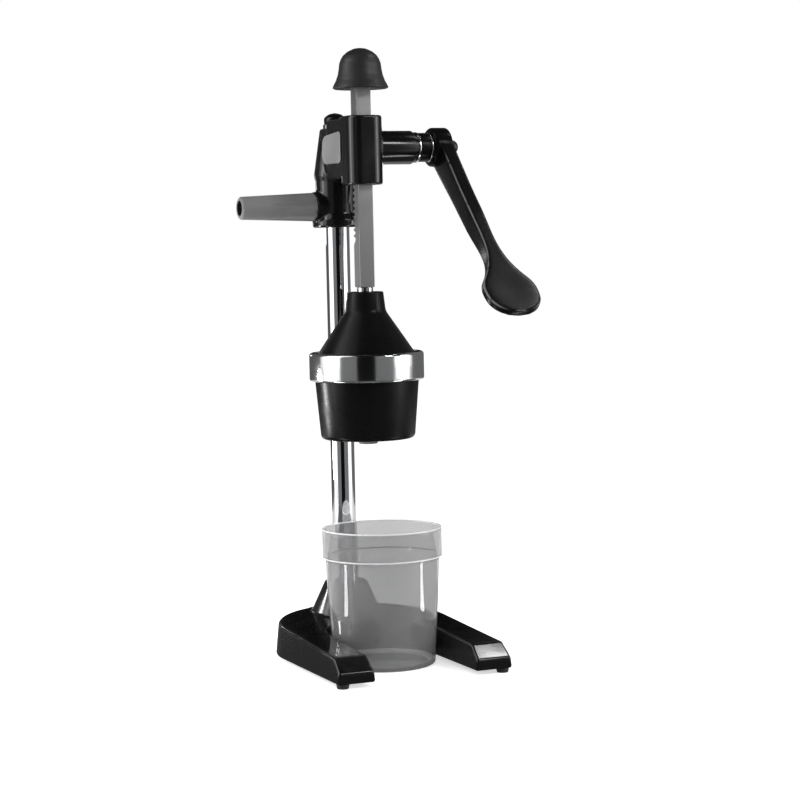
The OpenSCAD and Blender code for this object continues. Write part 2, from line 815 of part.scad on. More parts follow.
module pinion_gear() {
    color([0.5, 0.5, 0.52]) on_crank() translate([0, 0, -pinion_w / 2]) difference() {
        linear_extrude(pinion_w)
            polygon([for (k = [0 : pinion_n - 1]) each gear_tooth(180 + k * 360 / pinion_n)]);
        translate([0, 0, -cut]) cylinder(r = shaft_r + fit, h = pinion_w + 2 * cut);
        translate([0, -2.5, -cut]) cube([shaft_r + 2.5, 5, pinion_w + 2 * cut]);
    }
}

module gear_key() {
    color([0.4, 0.4, 0.42]) on_crank() translate([shaft_r - 2.5, -2.5, -pinion_w / 2])
        cube([5, 5, pinion_w]);
}

module thrust_washer() {
    color([0.85, 0.85, 0.87]) on_crank() translate([0, 0, stack_a])
        tube(sleeve_r - 1.5, shaft_r + fit, washer_t);
}

module crank_collar() {
    color([0.06, 0.06, 0.06]) on_crank() translate([0, 0, stack_b])
        tube(sleeve_r - 2.3, shaft_r + fit, stack_c - stack_b);
}

module hub_washer() {
    color([0.85, 0.85, 0.87]) on_crank() translate([0, 0, stack_c])
        tube(sleeve_r - 2, shaft_r + fit, washer_t);
}

function blend(t, p0, p1, m1) = p0 * (2 * t * t * t - 3 * t * t + 1)
    + p1 * (3 * t * t - 2 * t * t * t) + m1 * (t * t * t - t * t);
paddle_r = paddle_w / 2;
paddle_c = crank_len - paddle_r;
join_in = 0.58;
join_out = sqrt(1 - join_in * join_in);
paddle_in = paddle_c - join_in * paddle_r;
neck = 0.45 * crank_len;
neck_m = join_in / join_out * (paddle_in - neck);

module lever_side() {
    root = lever_face + 5;
    back = [for (i = [0 : 12])
        [blend(i / 12, lever_face, paddle_t - paddle_face, 0), -neck - i / 12 * (paddle_c - neck)]];
    polygon(concat([[-root, 0], [root, 0], [lever_face + 1, -0.3 * crank_len]], back,
        [[paddle_t - paddle_face, -crank_len - cut], [-paddle_face, -crank_len - cut],
        [-paddle_face, -paddle_c], [-lever_face, -neck], [-lever_face - 0.6, -0.3 * crank_len]]));
}

module lever_front() {
    flare = [for (i = [0 : 14])
        [blend(i / 14, arm_t / 2, paddle_r * join_out, neck_m), -neck - i / 14 * (paddle_in - neck)]];
    shoulder = [for (i = [1 : 6]) let (a = asin(join_in) * (1 - i / 6))
        [paddle_r * cos(a), paddle_r * sin(a) - paddle_c]];
    end = [for (i = [1 : 16]) let (a = i / 16 * 90)
        [paddle_r * pow(cos(a), 0.8), -paddle_c - paddle_r * pow(sin(a), 0.8)]];
    side = concat([[arm_t / 2, hub_r + cut]], flare, shoulder, end);
    polygon(concat(side, [for (i = [len(side) - 2 : -1 : 0]) [-side[i][0], side[i][1]]]));
}

module crank_lever() {
    hub_x = arm_in - arm_x;
    color([0.05, 0.05, 0.05]) placed() translate([arm_x, crank_y, crank_z]) difference() {
        union() {
            rotate([-crank_angle, 0, 0]) intersection() {
                translate([-paddle_w, 0, 0]) rotate([90, 0, 90]) linear_extrude(2 * paddle_w) lever_side();
                translate([0, 50, 0]) rotate([90, 0, 0]) linear_extrude(100) lever_front();
            }
            translate([hub_x, 0, 0]) rotate([0, 90, 0]) cylinder(r = hub_r, h = hub_t);
        }
        translate([hub_x - cut, -drive / 2 - fit, -drive / 2 - fit])
            cube([hub_t + 2 * cut, drive + 2 * fit, drive + 2 * fit]);
    }
}

module nut_washer() {
    color([0.85, 0.85, 0.87]) on_crank() translate([0, 0, arm_out])
        tube(10, stud_r + fit, nut_in - arm_out);
}

module crank_nut() {
    color([0.2, 0.2, 0.2]) on_crank() translate([0, 0, nut_in]) difference() {
        union() {
            hex(15, 5);
            intersection() {
                translate([0, 0, 4]) sphere(r = 7.5);
                cylinder(r = 9, h = 20);
            }
        }
        translate([0, 0, -cut]) cylinder(r = stud_r + fit, h = 7.2 + cut);
    }
}

module jar_outline(w) {
    low = jar_low_r - w;
    band_z = jar_h - jar_band;
    neck = jar_rim_r - 2.6 - w;
    polygon([[0, w], [low - 3, w], [low, w + 3], [neck, band_z - 2], [jar_rim_r - w, band_z + 1],
        [jar_rim_r - w, jar_h + (w > 0 ? cut : 0)], [0, jar_h + (w > 0 ? cut : 0)]]);
}

module jar() {
    color([0.8, 0.85, 0.88, 0.4]) placed() translate([0, jar_y, 0]) rotate_extrude() difference() {
        jar_outline(0);
        jar_outline(jar_wall);
    }
}

base_casting();
rubber_feet();
foot_screws();
column_tube();
column_grub_screws();
column_cap();
head_casting();
badge_plate();
head_pinch_bolts();
head_pinch_nuts();
bearing_sleeve();
sleeve_screws();
bush_left();
bush_right();
rack_gib();
handle_rod();
handle_grip();
handle_nut();
pot_casting();
pot_pinch_bolt();
pot_pinch_nut();
steel_ring();
strainer();
spout_nozzle();
rack_bar();
top_knob();
bell_lock_nut();
press_bell();
bell_cap_nut();
pinion_shaft();
pinion_gear();
gear_key();
thrust_washer();
crank_collar();
hub_washer();
crank_lever();
nut_washer();
crank_nut();
jar();
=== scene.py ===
"""Looks of a hand cranked citrus press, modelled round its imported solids.

Metres in the scene, Z up, front of the press towards -Y.
Shapes of single pieces are written in millimetres from the ram axis and the floor.
"""
import json
from math import asin, atan, copysign, cos, hypot, pi, radians, sin, tan

import bmesh
import bpy
from mathutils import Matrix, Vector


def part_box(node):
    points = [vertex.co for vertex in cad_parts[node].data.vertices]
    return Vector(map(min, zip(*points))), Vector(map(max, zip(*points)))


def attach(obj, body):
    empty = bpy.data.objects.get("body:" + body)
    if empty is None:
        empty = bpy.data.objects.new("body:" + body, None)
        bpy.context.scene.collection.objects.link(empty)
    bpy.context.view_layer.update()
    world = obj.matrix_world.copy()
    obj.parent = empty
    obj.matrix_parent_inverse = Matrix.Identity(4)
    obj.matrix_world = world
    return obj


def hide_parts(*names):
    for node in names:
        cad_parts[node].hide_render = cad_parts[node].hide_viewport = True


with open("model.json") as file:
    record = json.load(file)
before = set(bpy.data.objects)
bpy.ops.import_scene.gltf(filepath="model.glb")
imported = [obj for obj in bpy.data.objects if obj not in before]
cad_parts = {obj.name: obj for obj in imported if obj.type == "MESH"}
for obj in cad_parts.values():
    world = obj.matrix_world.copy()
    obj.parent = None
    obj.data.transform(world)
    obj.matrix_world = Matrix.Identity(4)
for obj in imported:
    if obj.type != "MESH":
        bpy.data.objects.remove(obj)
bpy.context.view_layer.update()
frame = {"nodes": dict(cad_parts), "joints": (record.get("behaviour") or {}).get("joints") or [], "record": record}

MM = 0.001
SAME_PLACE = 1e-6
UP = Vector((0, 0, 1))
RIGHT = Vector((1, 0, 0))
LEFT = Vector((-1, 0, 0))
REARWARD = Vector((0, 1, 0))


# Places read from the frame

def middle(node):
    """Centre of a node's box, in metres."""
    low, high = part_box(node)
    return (low + high) / 2


RAM = middle("press_bell")
RAM_FOOT = Vector((RAM.x, RAM.y, 0))


def at(x, y, z):
    """A point in metres from millimetres off the ram axis and the floor."""
    return Vector((RAM.x + x * MM, RAM.y + y * MM, z * MM))


def edges(node):
    """Lowest and highest corner of a node, in millimetres off the ram axis and the floor."""
    low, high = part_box(node)
    return (low - RAM_FOOT) / MM, (high - RAM_FOOT) / MM


def joint_place(name):
    """Axis point of a joint, in millimetres off the ram axis and the floor."""
    joint = next(j for j in frame["joints"] if j["name"] == name)
    return (Vector(joint["pos_m"]) - RAM_FOOT) / MM


def upright(node):
    """Foot, height and half width of a node, in millimetres."""
    low, high = edges(node)
    return low.z, high.z - low.z, high.x


CRANK = joint_place("crank_turn")
COLUMN_Y = (edges("column_cap")[0].y + edges("column_cap")[1].y) / 2
COLUMN_R = 12.7
TUBE_IN = COLUMN_R - 2
HANDLE_Z = (edges("handle_rod")[0].z + edges("handle_rod")[1].z) / 2

# Radii of holes, and the room left round what goes into them
RUN = 0.05
SCREW_HOLE = 1.5 + RUN
BOLT_HOLE = 2.5 + RUN
ROD_HOLE = 5 + RUN
STEM_HOLE = 6 + RUN
SHAFT_HOLE = 8 + RUN
BUSH_HOLE = 11 + RUN
GRIP_HOLE = 7.6


# Tools of the bench

def clear_selection():
    if bpy.context.mode != "OBJECT":
        bpy.ops.object.mode_set(mode="OBJECT")
    bpy.ops.object.select_all(action="DESELECT")


def activate(piece):
    clear_selection()
    piece.select_set(True)
    bpy.context.view_layer.objects.active = piece


def edit(piece):
    activate(piece)
    bpy.ops.object.mode_set(mode="EDIT")


def leave():
    bpy.ops.object.mode_set(mode="OBJECT")


def select_all():
    bpy.ops.mesh.select_all(action="SELECT")


def extrude(way):
    """Extrudes what is selected along a way in metres."""
    bpy.ops.mesh.extrude_region_move(TRANSFORM_OT_translate={"value": way})


def placed(name):
    """Names the primitive just added and puts its place, turn and scale into its mesh."""
    piece = bpy.context.object
    piece.name = name
    piece.data.name = name
    bpy.ops.object.transform_apply(location=True, rotation=True, scale=True)
    return piece


def choose(piece, test, kind="VERT"):
    """Selects the vertices or edges whose place in millimetres, and direction, pass the test."""
    bpy.ops.mesh.select_mode(type=kind)
    bpy.ops.mesh.select_all(action="DESELECT")
    mesh = bmesh.from_edit_mesh(piece.data)
    if kind == "VERT":
        found = [v for v in mesh.verts if test((v.co - RAM_FOOT) / MM, v.normal)]
    else:
        found = []
        for line in mesh.edges:
            a, b = (v.co for v in line.verts)
            if test(((a + b) / 2 - RAM_FOOT) / MM, (b - a).normalized()):
                found.append(line)
    for part in found:
        part.select_set(True)
    mesh.select_flush_mode()
    bmesh.update_edit_mesh(piece.data)


def tidy(piece):
    """Merges doubles and turns all faces outwards."""
    edit(piece)
    select_all()
    bpy.ops.mesh.remove_doubles(threshold=SAME_PLACE)
    bpy.ops.mesh.normals_make_consistent(inside=False)
    leave()


def apply_modifier(piece, kind, **values):
    activate(piece)
    modifier = piece.modifiers.new(kind.lower(), kind)
    for key, value in values.items():
        setattr(modifier, key, value)
    bpy.ops.object.modifier_apply(modifier=modifier.name)


def combine(piece, tool, operation):
    apply_modifier(piece, "BOOLEAN", operation=operation, object=tool, solver="EXACT")
    bpy.data.objects.remove(tool)


def cut(piece, *tools):
    for tool in tools:
        combine(piece, tool, "DIFFERENCE")


def add(piece, *tools):
    for tool in tools:
        combine(piece, tool, "UNION")


def join(name, pieces):
    """Makes one object of several meshes."""
    activate(pieces[0])
    for piece in pieces[1:]:
        piece.select_set(True)
    bpy.ops.object.join()
    pieces[0].name = name
    pieces[0].data.name = name
    return pieces[0]


def soften(piece, width, angle=30, segments=3):
    apply_modifier(piece, "BEVEL", width=width * MM, segments=segments, limit_method="ANGLE",
                   angle_limit=radians(angle), miter_outer="MITER_ARC", use_clamp_overlap=False)


def melt(piece, grid, rounds):
    """Makes one casting of overlapping blocks, with soft fillets between them."""
    apply_modifier(piece, "REMESH", mode="VOXEL", voxel_size=grid * MM)
    apply_modifier(piece, "SMOOTH", factor=0.5, iterations=rounds)


def even_normals(piece):
    apply_modifier(piece, "WEIGHTED_NORMAL", keep_sharp=True, weight=80)


def fit(piece, body, slot, node, angle=35, finish=None):
    """Gives a finished piece its finish and its body, and hides the node it stands for."""
    activate(piece)
    bpy.ops.object.shade_smooth_by_angle(angle=radians(angle))
    piece.data.materials.clear()
    piece.data.materials.append(finish or FINISH[slot])
    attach(piece, body)
    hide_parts(node)


# Starting shapes

def block(name, low, high):
    clear_selection()
    a = at(*low)
    b = at(*high)
    bpy.ops.mesh.primitive_cube_add(size=1, location=(a + b) / 2)
    bpy.context.object.scale = b - a
    return placed(name)


def rod(name, start, end, radius, end_radius=None, sides=96):
    """A round bar or cone between two points in millimetres."""
    clear_selection()
    a = at(*start)
    b = at(*end)
    bpy.ops.mesh.primitive_cone_add(vertices=sides, radius1=radius * MM, depth=(b - a).length,
                                    radius2=(end_radius or radius) * MM, location=(a + b) / 2,
                                    rotation=UP.rotation_difference(b - a).to_euler())
    return placed(name)


def draw_line(name, points):
    """A chain of edges through points in metres, grown from one vertex by extruding."""
    clear_selection()
    bpy.ops.mesh.primitive_plane_add(size=MM, location=points[0])
    piece = placed(name)
    edit(piece)
    bpy.ops.mesh.select_mode(type="VERT")
    select_all()
    bpy.ops.mesh.merge(type="CENTER")
    for here, there in zip(points, points[1:]):
        extrude(there - here)
    return piece


def rounded(points, steps=5):
    """A profile in which a point with a third number becomes an arc of that radius."""
    profile = []
    for i, point in enumerate(points):
        here = Vector(point[:2])
        if len(point) < 3:
            profile.append(here)
            continue
        back = Vector(points[i - 1][:2]) - here
        ahead = Vector(points[i + 1][:2]) - here
        half = back.angle(ahead) / 2
        reach = min(point[2] / tan(half), back.length / 2.05, ahead.length / 2.05)
        centre = here + (back.normalized() + ahead.normalized()).normalized() * reach / cos(half)
        first = here + back.normalized() * reach - centre
        turn = (pi - 2 * half) * copysign(1, back.cross(ahead))
        for k in range(steps + 1):
            profile.append(centre + Matrix.Rotation(-turn * k / steps, 2) @ first)
    return profile


def lathe(name, profile, foot, along=UP, steps=96):
    """Spins a profile of (radius, height) in millimetres about an axis; one that starts off it is closed."""
    if profile[0][0]:
        profile = profile + profile[:1]
    out = UP if abs(along.z) < 0.5 else RIGHT
    centre = at(*foot)
    points = [centre + (out * r + along * h) * MM for r, h in rounded(profile)]
    piece = draw_line(name, points)
    select_all()
    bpy.ops.mesh.spin(steps=steps, angle=2 * pi, center=centre, axis=along)
    leave()
    tidy(piece)
    return piece


def plate(name, outline, origin, across, up, thickness):
    """An outline in millimetres on a plane through the origin, filled and thickened along the normal."""
    start = at(*origin)
    points = [start + (across * p[0] + up * p[1]) * MM for p in rounded(outline + outline[:1])]
    piece = draw_line(name, points)
    select_all()
    bpy.ops.mesh.remove_doubles(threshold=SAME_PLACE)
    bpy.ops.mesh.edge_face_add()
    extrude(across.cross(up) * thickness * MM)
    leave()
    tidy(piece)
    return piece


# Shader node groups shared by the finishes

def add_node(tree, kind, settings=None, **inputs):
    node = tree.nodes.new("ShaderNode" + kind)
    for key, value in (settings or {}).items():
        setattr(node, key, value)
    for key, value in inputs.items():
        node.inputs[key.replace("_", " ")].default_value = value
    return node


def wire(tree, *pairs):
    """Links outlets to inlets, pair by pair."""
    for outlet, inlet in pairs:
        tree.links.new(outlet, inlet)


def calculate(tree, operation, *values):
    """Works on outlets or plain numbers and returns the outlet."""
    node = add_node(tree, "Math", {"operation": operation})
    for inlet, value in zip(node.inputs, values):
        if isinstance(value, float):
            inlet.default_value = value
        else:
            tree.links.new(value, inlet)
    return node.outputs[0]


def make_group(name, inputs, build):
    """A node group: build takes the tree and the given values and returns the outlets by name."""
    group = bpy.data.node_groups.new(name, "ShaderNodeTree")
    group.interface.new_socket("Vector", in_out="INPUT", socket_type="NodeSocketVector")
    for label, value in inputs.items():
        inlet = group.interface.new_socket(label, in_out="INPUT", socket_type="NodeSocketFloat")
        inlet.default_value = value
    outlets = build(group, group.nodes.new("NodeGroupInput").outputs)
    for label in outlets:
        group.interface.new_socket(label, in_out="OUTPUT", socket_type="NodeSocketFloat")
    result = group.nodes.new("NodeGroupOutput")
    for label, outlet in outlets.items():
        group.links.new(outlet, result.inputs[label])
    return group


def ramp_to(tree, source, low, high, to_low=0.0, to_high=1.0):
    """Maps a value range to another with soft ends and returns the outlet."""
    step = add_node(tree, "MapRange", {"interpolation_type": "SMOOTHSTEP"}, From_Min=low, From_Max=high,
                    To_Min=to_low, To_Max=to_high)
    tree.links.new(source, step.inputs["Value"])
    return step.outputs["Result"]


def scaled_noise(group, given, scale=None, **values):
    """Noise at the group's own scale, or at another one, as an outlet."""
    noise = add_node(group, "TexNoise", **values)
    wire(group, (given["Vector"], noise.inputs["Vector"]), (scale or given["Scale"], noise.inputs["Scale"]))
    return noise.outputs[0]


def surface_grain(group, given):
    """Orange peel of paint and fine texture of moulded plastic."""
    return {"Height": scaled_noise(group, given, Detail=2.0, Roughness=0.5)}


def handling_marks(group, given):
    """Faint smears left by hands and cloths, and small specks."""
    cloud = scaled_noise(group, given, Detail=4.0, Roughness=0.6, Distortion=0.6)
    finer = calculate(group, "MULTIPLY", given["Scale"], 28.0)
    specks = scaled_noise(group, given, finer, Detail=1.0, Roughness=0.4)
    return {"Smear": ramp_to(group, cloud, 0.4, 0.7), "Speck": ramp_to(group, specks, 0.68, 0.78)}


def painted_edge_highlight(group, given):
    """Painted highlight: lighter patches along sharp edges, standing in for the light caught by a casting's
    rounded edges.
    """
    shape = add_node(group, "NewGeometry")
    ridges = ramp_to(group, shape.outputs["Pointiness"], 0.505, 0.522)
    patches = ramp_to(group, scaled_noise(group, given, Detail=3.0, Roughness=0.6), 0.3, 0.5)
    return {"Highlight": calculate(group, "MULTIPLY", ridges, patches)}


def bar_room(group, given):
    """Tells the room inside a round bar along X from the room outside it."""
    flat = add_node(group, "VectorMath", {"operation": "MULTIPLY"})
    axis = add_node(group, "CombineXYZ")
    away = add_node(group, "VectorMath", {"operation": "DISTANCE"})
    span = add_node(group, "MapRange", {"interpolation_type": "SMOOTHSTEP"})
    flat.inputs[1].default_value = (0, 1, 1)
    outside = span.outputs["Result"]
    wire(group, (given["Vector"], flat.inputs[0]), (given["Y"], axis.inputs["Y"]),
         (given["Z"], axis.inputs["Z"]), (flat.outputs["Vector"], away.inputs[0]),
         (axis.outputs[0], away.inputs[1]), (away.outputs["Value"], span.inputs["Value"]),
         (given["Near"], span.inputs["From Min"]), (given["Far"], span.inputs["From Max"]))
    return {"Inside": calculate(group, "SUBTRACT", 1.0, outside), "Outside": outside}


def tool_lines(group, given):
    """Fine lines of drawn, turned or brushed metal: the stretch sets their direction."""
    scale = add_node(group, "CombineXYZ")
    spread = add_node(group, "VectorMath", {"operation": "MULTIPLY"})
    noise = add_node(group, "TexNoise", Scale=1.0, Detail=3.0, Roughness=0.65)
    wire(group, (given["Across"], scale.inputs["X"]), (given["Along"], scale.inputs["Y"]),
         (given["Upright"], scale.inputs["Z"]), (given["Vector"], spread.inputs[0]),
         (scale.outputs[0], spread.inputs[1]), (spread.outputs[0], noise.inputs["Vector"]))
    return {"Line": noise.outputs[0]}


def settled_dust(group, given):
    """A thin veil of dust on faces that look up."""
    shape = add_node(group, "NewGeometry")
    parts = add_node(group, "SeparateXYZ")
    group.links.new(shape.outputs["Normal"], parts.inputs[0])
    level = ramp_to(group, parts.outputs["Z"], 0.5, 1.0)
    patches = ramp_to(group, scaled_noise(group, given, Detail=5.0, Roughness=0.65), 0.4, 0.75)
    return {"Dust": calculate(group, "MULTIPLY", level, patches)}


GRAIN = make_group("surface_grain", {"Scale": 600.0}, surface_grain)
HANDLING = make_group("handling_marks", {"Scale": 14.0}, handling_marks)
EDGE_HIGHLIGHT = make_group("painted_edge_highlight", {"Scale": 90.0}, painted_edge_highlight)
LINES = make_group("tool_lines", {"Across": 900.0, "Along": 12.0, "Upright": 12.0}, tool_lines)
DUST = make_group("settled_dust", {"Scale": 40.0}, settled_dust)
BORE = make_group("round_bar_room", {"Y": 0.0, "Z": 0.0, "Near": 0.01, "Far": 0.02}, bar_room)


# Finishes

class Finish:
    """One procedural material, put together from the shared groups."""

    def __init__(self, name, colour, roughness, **sockets):
        self.material = bpy.data.materials.new(name)
        self.material.use_nodes = True
        self.tree = self.material.node_tree
        self.shader = self.tree.nodes["Principled BSDF"]
        self.place = add_node(self.tree, "TexCoord").outputs["Object"]
        self.shader.inputs["Base Color"].default_value = (*colour, 1)
        self.shader.inputs["Roughness"].default_value = roughness
        self.colour = (*colour, 1)
        self.tint = None
        for key, value in sockets.items():
            self.shader.inputs[key.replace("_", " ")].default_value = value

    def effect(self, group, outlet, **inputs):
        node = self.tree.nodes.new("ShaderNodeGroup")
        node.node_tree = group
        self.tree.links.new(self.place, node.inputs["Vector"])
        for key, value in inputs.items():
            node.inputs[key].default_value = value
        return node.outputs[outlet]

    def smear(self, scale):
        return self.effect(HANDLING, "Smear", Scale=scale)

    def specks(self, scale):
        return self.effect(HANDLING, "Speck", Scale=scale)

    def dust(self, scale):
        return self.effect(DUST, "Dust", Scale=scale)

    def grain(self, scale):
        return self.effect(GRAIN, "Height", Scale=scale)

    def stain(self, mask, colour, amount):
        """Mixes a colour over the base colour where the mask is high."""
        strength = ramp_to(self.tree, mask, 0, 1, 0, amount)
        mix = add_node(self.tree, "Mix", {"data_type": "RGBA"})
        mix.inputs[6].default_value = self.colour
        mix.inputs[7].default_value = (*colour, 1)
        self.tree.links.new(strength, mix.inputs[0])
        if self.tint:
            self.tree.links.new(self.tint, mix.inputs[6])
        self.tint = mix.outputs[2]
        self.tree.links.new(self.tint, self.shader.inputs["Base Color"])

    def gloss(self, mask, low, high):
        """Lets the roughness run from low to high with the mask."""
        self.tree.links.new(ramp_to(self.tree, mask, 0, 1, low, high), self.shader.inputs["Roughness"])

    def relief(self, height, strength, depth):
        """Adds a bump of a depth in millimetres to those already there."""
        bump = add_node(self.tree, "Bump", Strength=strength, Distance=depth * MM)
        self.tree.links.new(height, bump.inputs["Height"])
        before = self.shader.inputs["Normal"].links
        if before:
            self.tree.links.new(before[0].from_socket, bump.inputs["Normal"])
        self.tree.links.new(bump.outputs["Normal"], self.shader.inputs["Normal"])


def enamel_black():
    paint = Finish("gloss_black_enamel", (0.0045, 0.0045, 0.0048), 0.16, Specular_IOR_Level=0.45)
    paint.stain(paint.smear(11.0), (0.008, 0.008, 0.0084), 0.5)
    paint.stain(paint.dust(55.0), (0.12, 0.12, 0.117), 0.04)
    paint.gloss(paint.smear(16.0), 0.13, 0.24)
    paint.relief(paint.grain(420.0), 0.05, 0.2)
    return paint.material


def powder_black(name, level, low, high, highlight_amount=0.0):
    """Satin powder coat: level sets how strongly it mirrors, highlight_amount how strongly a painted highlight
    lightens its edges.
    """
    paint = Finish(name, (0.0042, 0.0042, 0.0044), low, Specular_IOR_Level=level)
    paint.stain(paint.smear(9.0), (0.006, 0.006, 0.0063), 0.6)
    paint.stain(paint.dust(50.0), (0.12, 0.12, 0.117), 0.04)
    paint.gloss(paint.smear(13.0), low, high)
    paint.relief(paint.grain(1100.0), 0.05, 0.06)
    if highlight_amount:
        # Painted highlight along the lever's edges, kept off the hub.
        hub = at(0, CRANK.y, CRANK.z)
        arm = paint.effect(BORE, "Outside", Y=hub.y, Z=hub.z, Near=24 * MM, Far=40 * MM)
        painted_highlight = calculate(paint.tree, "MULTIPLY", paint.effect(EDGE_HIGHLIGHT, "Highlight", Scale=60.0), arm)
        paint.stain(painted_highlight, (0.3, 0.3, 0.305), highlight_amount)
    return paint.material


def moulded(name, colour, shade, low, high, grain, strength):
    """Moulded plastic: fine grain, faint smears, a little shade in the colour."""
    skin = Finish(name, colour, low, Specular_IOR_Level=0.3)
    skin.stain(skin.smear(18.0), shade, 0.6)
    skin.stain(skin.specks(30.0), [c * 0.7 for c in colour], 0.35)
    skin.gloss(skin.smear(24.0), low, high)
    skin.relief(skin.grain(grain), strength, 0.12)
    return skin


def plastic(*values):
    return moulded(*values).material


def grip_plastic():
    """Grey plastic of the grip and the spout, with painted shade: near black inside the hole in the grip's end."""
    skin = moulded("grey_moulded_plastic", (0.2, 0.2, 0.203), (0.16, 0.16, 0.163), 0.44, 0.56, 700.0, 0.2)
    # Painted shade: the wall inside the hole in the grip's end is coloured near black, where shade falls.
    axis = at(0, COLUMN_Y, HANDLE_Z)
    near = (GRIP_HOLE + RUN) * MM
    hole = skin.effect(BORE, "Inside", Y=axis.y, Z=axis.z, Near=near, Far=8.4 * MM)
    skin.stain(hole, (0.012, 0.012, 0.0122), 1.0)
    return skin.material


def metal(name, colour, shade, low, high, lines, strength):
    """Bare or plated metal with tool lines: lines gives their scale along X, Y and Z."""
    skin = Finish(name, colour, low, Metallic=1.0)
    across, along, upright_scale = lines
    line = skin.effect(LINES, "Line", Across=across, Along=along, Upright=upright_scale)
    skin.stain(skin.smear(12.0), shade, 0.5)
    skin.gloss(line, low, high)
    skin.relief(line, strength, 0.05)
    return skin.material


def chrome():
    skin = Finish("bright_chrome", (0.79, 0.8, 0.82), 0.06, Metallic=1.0)
    skin.stain(skin.smear(15.0), (0.7, 0.71, 0.73), 0.5)
    skin.gloss(skin.smear(22.0), 0.04, 0.1)
    skin.relief(skin.effect(LINES, "Line", Across=700.0, Along=700.0, Upright=9.0), 0.03, 0.03)
    return skin.material


def rubber():
    skin = Finish("black_rubber", (0.02, 0.02, 0.02), 0.6)
    skin.stain(skin.dust(80.0), (0.1, 0.1, 0.098), 0.3)
    skin.stain(skin.specks(40.0), (0.07, 0.07, 0.068), 0.4)
    skin.gloss(skin.smear(50.0), 0.5, 0.7)
    skin.relief(skin.grain(1500.0), 0.3, 0.15)
    return skin.material


def clear_plastic():
    skin = Finish("clear_moulded_plastic", (0.56, 0.56, 0.565), 0.02, IOR=1.49, Transmission_Weight=0.8)
    skin.stain(skin.smear(9.0), (0.5, 0.5, 0.505), 0.5)
    skin.gloss(skin.smear(13.0), 0.01, 0.04)
    return skin.material


def painted_jar_rim_highlight():
    """Painted highlight: the lip and bead of the jar coloured paler than its walls, standing in for the light on
    its rim lines.
    """
    skin = Finish("jar_rim_painted_highlight", (0.95, 0.95, 0.955), 0.25, IOR=1.49, Transmission_Weight=0.15)
    skin.stain(skin.smear(25.0), (0.8, 0.8, 0.81), 0.6)
    skin.gloss(skin.smear(40.0), 0.15, 0.35)
    return skin.material


FINISH = {
    "gloss_black": enamel_black(),
    "satin_black": powder_black("satin_black_powder_coat", 0.12, 0.26, 0.36),
    "knob_black": plastic("knob_black_plastic", (0.017, 0.017, 0.0174), (0.021, 0.021, 0.0214), 0.42, 0.48,
                          900.0, 0.04),
    "chrome_tube": chrome(),
    "polished_steel": metal("polished_stainless", (0.72, 0.73, 0.74), (0.64, 0.65, 0.66), 0.1, 0.18,
                            (6.0, 6.0, 1500.0), 0.06),
    "zinc_steel": metal("zinc_plate", (0.6, 0.61, 0.63), (0.48, 0.48, 0.5), 0.25, 0.42,
                        (300.0, 300.0, 300.0), 0.1),
    "bright_steel": metal("bright_turned_steel", (0.76, 0.77, 0.78), (0.66, 0.67, 0.68), 0.12, 0.26,
                          (1400.0, 40.0, 40.0), 0.1),
    "black_oxide": metal("black_oxide_steel", (0.05, 0.05, 0.053), (0.03, 0.03, 0.032), 0.3, 0.48,
                         (250.0, 250.0, 250.0), 0.12),
    "gear_steel": metal("oiled_gear_steel", (0.45, 0.45, 0.46), (0.33, 0.33, 0.34), 0.22, 0.4,
                        (900.0, 60.0, 60.0), 0.15),
    "rack_grey": metal("drawn_grey_steel", (0.33, 0.33, 0.335), (0.27, 0.27, 0.275), 0.34, 0.5,
                       (700.0, 700.0, 14.0), 0.2),
    "grip_grey": grip_plastic(),
    "plate_grey": metal("matt_grey_plate", (0.46, 0.46, 0.464), (0.41, 0.41, 0.414), 0.45, 0.6,
                        (10.0, 10.0, 1100.0), 0.1),
    "bronze": metal("turned_bronze", (0.55, 0.36, 0.16), (0.42, 0.27, 0.12), 0.25, 0.42,
                    (900.0, 50.0, 50.0), 0.15),
    "cap_black": plastic("gloss_black_plastic", (0.005, 0.005, 0.005), (0.009, 0.009, 0.009), 0.16, 0.24,
                         800.0, 0.08),
    "foot_rubber": rubber(),
    "clear_jar": clear_plastic(),
}

JAR_RIM_HIGHLIGHT = painted_jar_rim_highlight()
# Lever finish with a painted highlight along its edges.
LEVER_BLACK = powder_black("lever_black_powder_coat", 0.07, 0.2, 0.26, 0.5)


# Base

# Tops are heights over the floor at the leg fronts, the lips of their bevels and the rear
DRAFT = 0.1
WALL = 5.0
BAY_HALF = 54.0
BEVEL_RUN = 17.7
LEG_TOP = 29.5
LIP_TOP = 15.7
REAR_TOP = 42.0
BEVEL = atan((LEG_TOP - LIP_TOP) / BEVEL_RUN)
SOCKET_FOOT_R = 39.0
SOCKET_TOP_R = 22.0
GRUB_ANGLE = radians(38)
GRUB_DROP = 13
FOOT_R = 6.5
REAR_FOOT_SHARE = 0.58


def d_block(name, half, round_y, front_y, low, high, lean):
    """A block with a half round rear and a straight front; its top is wider by the lean on each side."""
    clear_selection()
    bpy.ops.mesh.primitive_circle_add(vertices=160, radius=half * MM, location=at(0, round_y, low))
    piece = placed(name)
    edit(piece)
    choose(piece, lambda p, n: p.y < round_y - 0.01)
    bpy.ops.mesh.delete(type="VERT")
    choose(piece, lambda p, n: p.y < round_y + 0.01)
    extrude((0, (front_y - round_y) * MM, 0))
    bpy.ops.mesh.edge_face_add()
    select_all()
    bpy.ops.mesh.edge_face_add()
    extrude((0, 0, (high - low) * MM))
    grow = (half + lean) / half
    choose(piece, lambda p, n: p.z > (low + high) / 2)
    bpy.ops.transform.resize(value=(grow, grow, 1), center_override=at(0, round_y, high))
    choose(piece, lambda p, n: p.z > (low + high) / 2 and p.y < round_y - 1)
    bpy.ops.transform.translate(value=(0, (front_y - round_y) * (1 - grow) * MM, 0))
    leave()
    tidy(piece)
    return piece


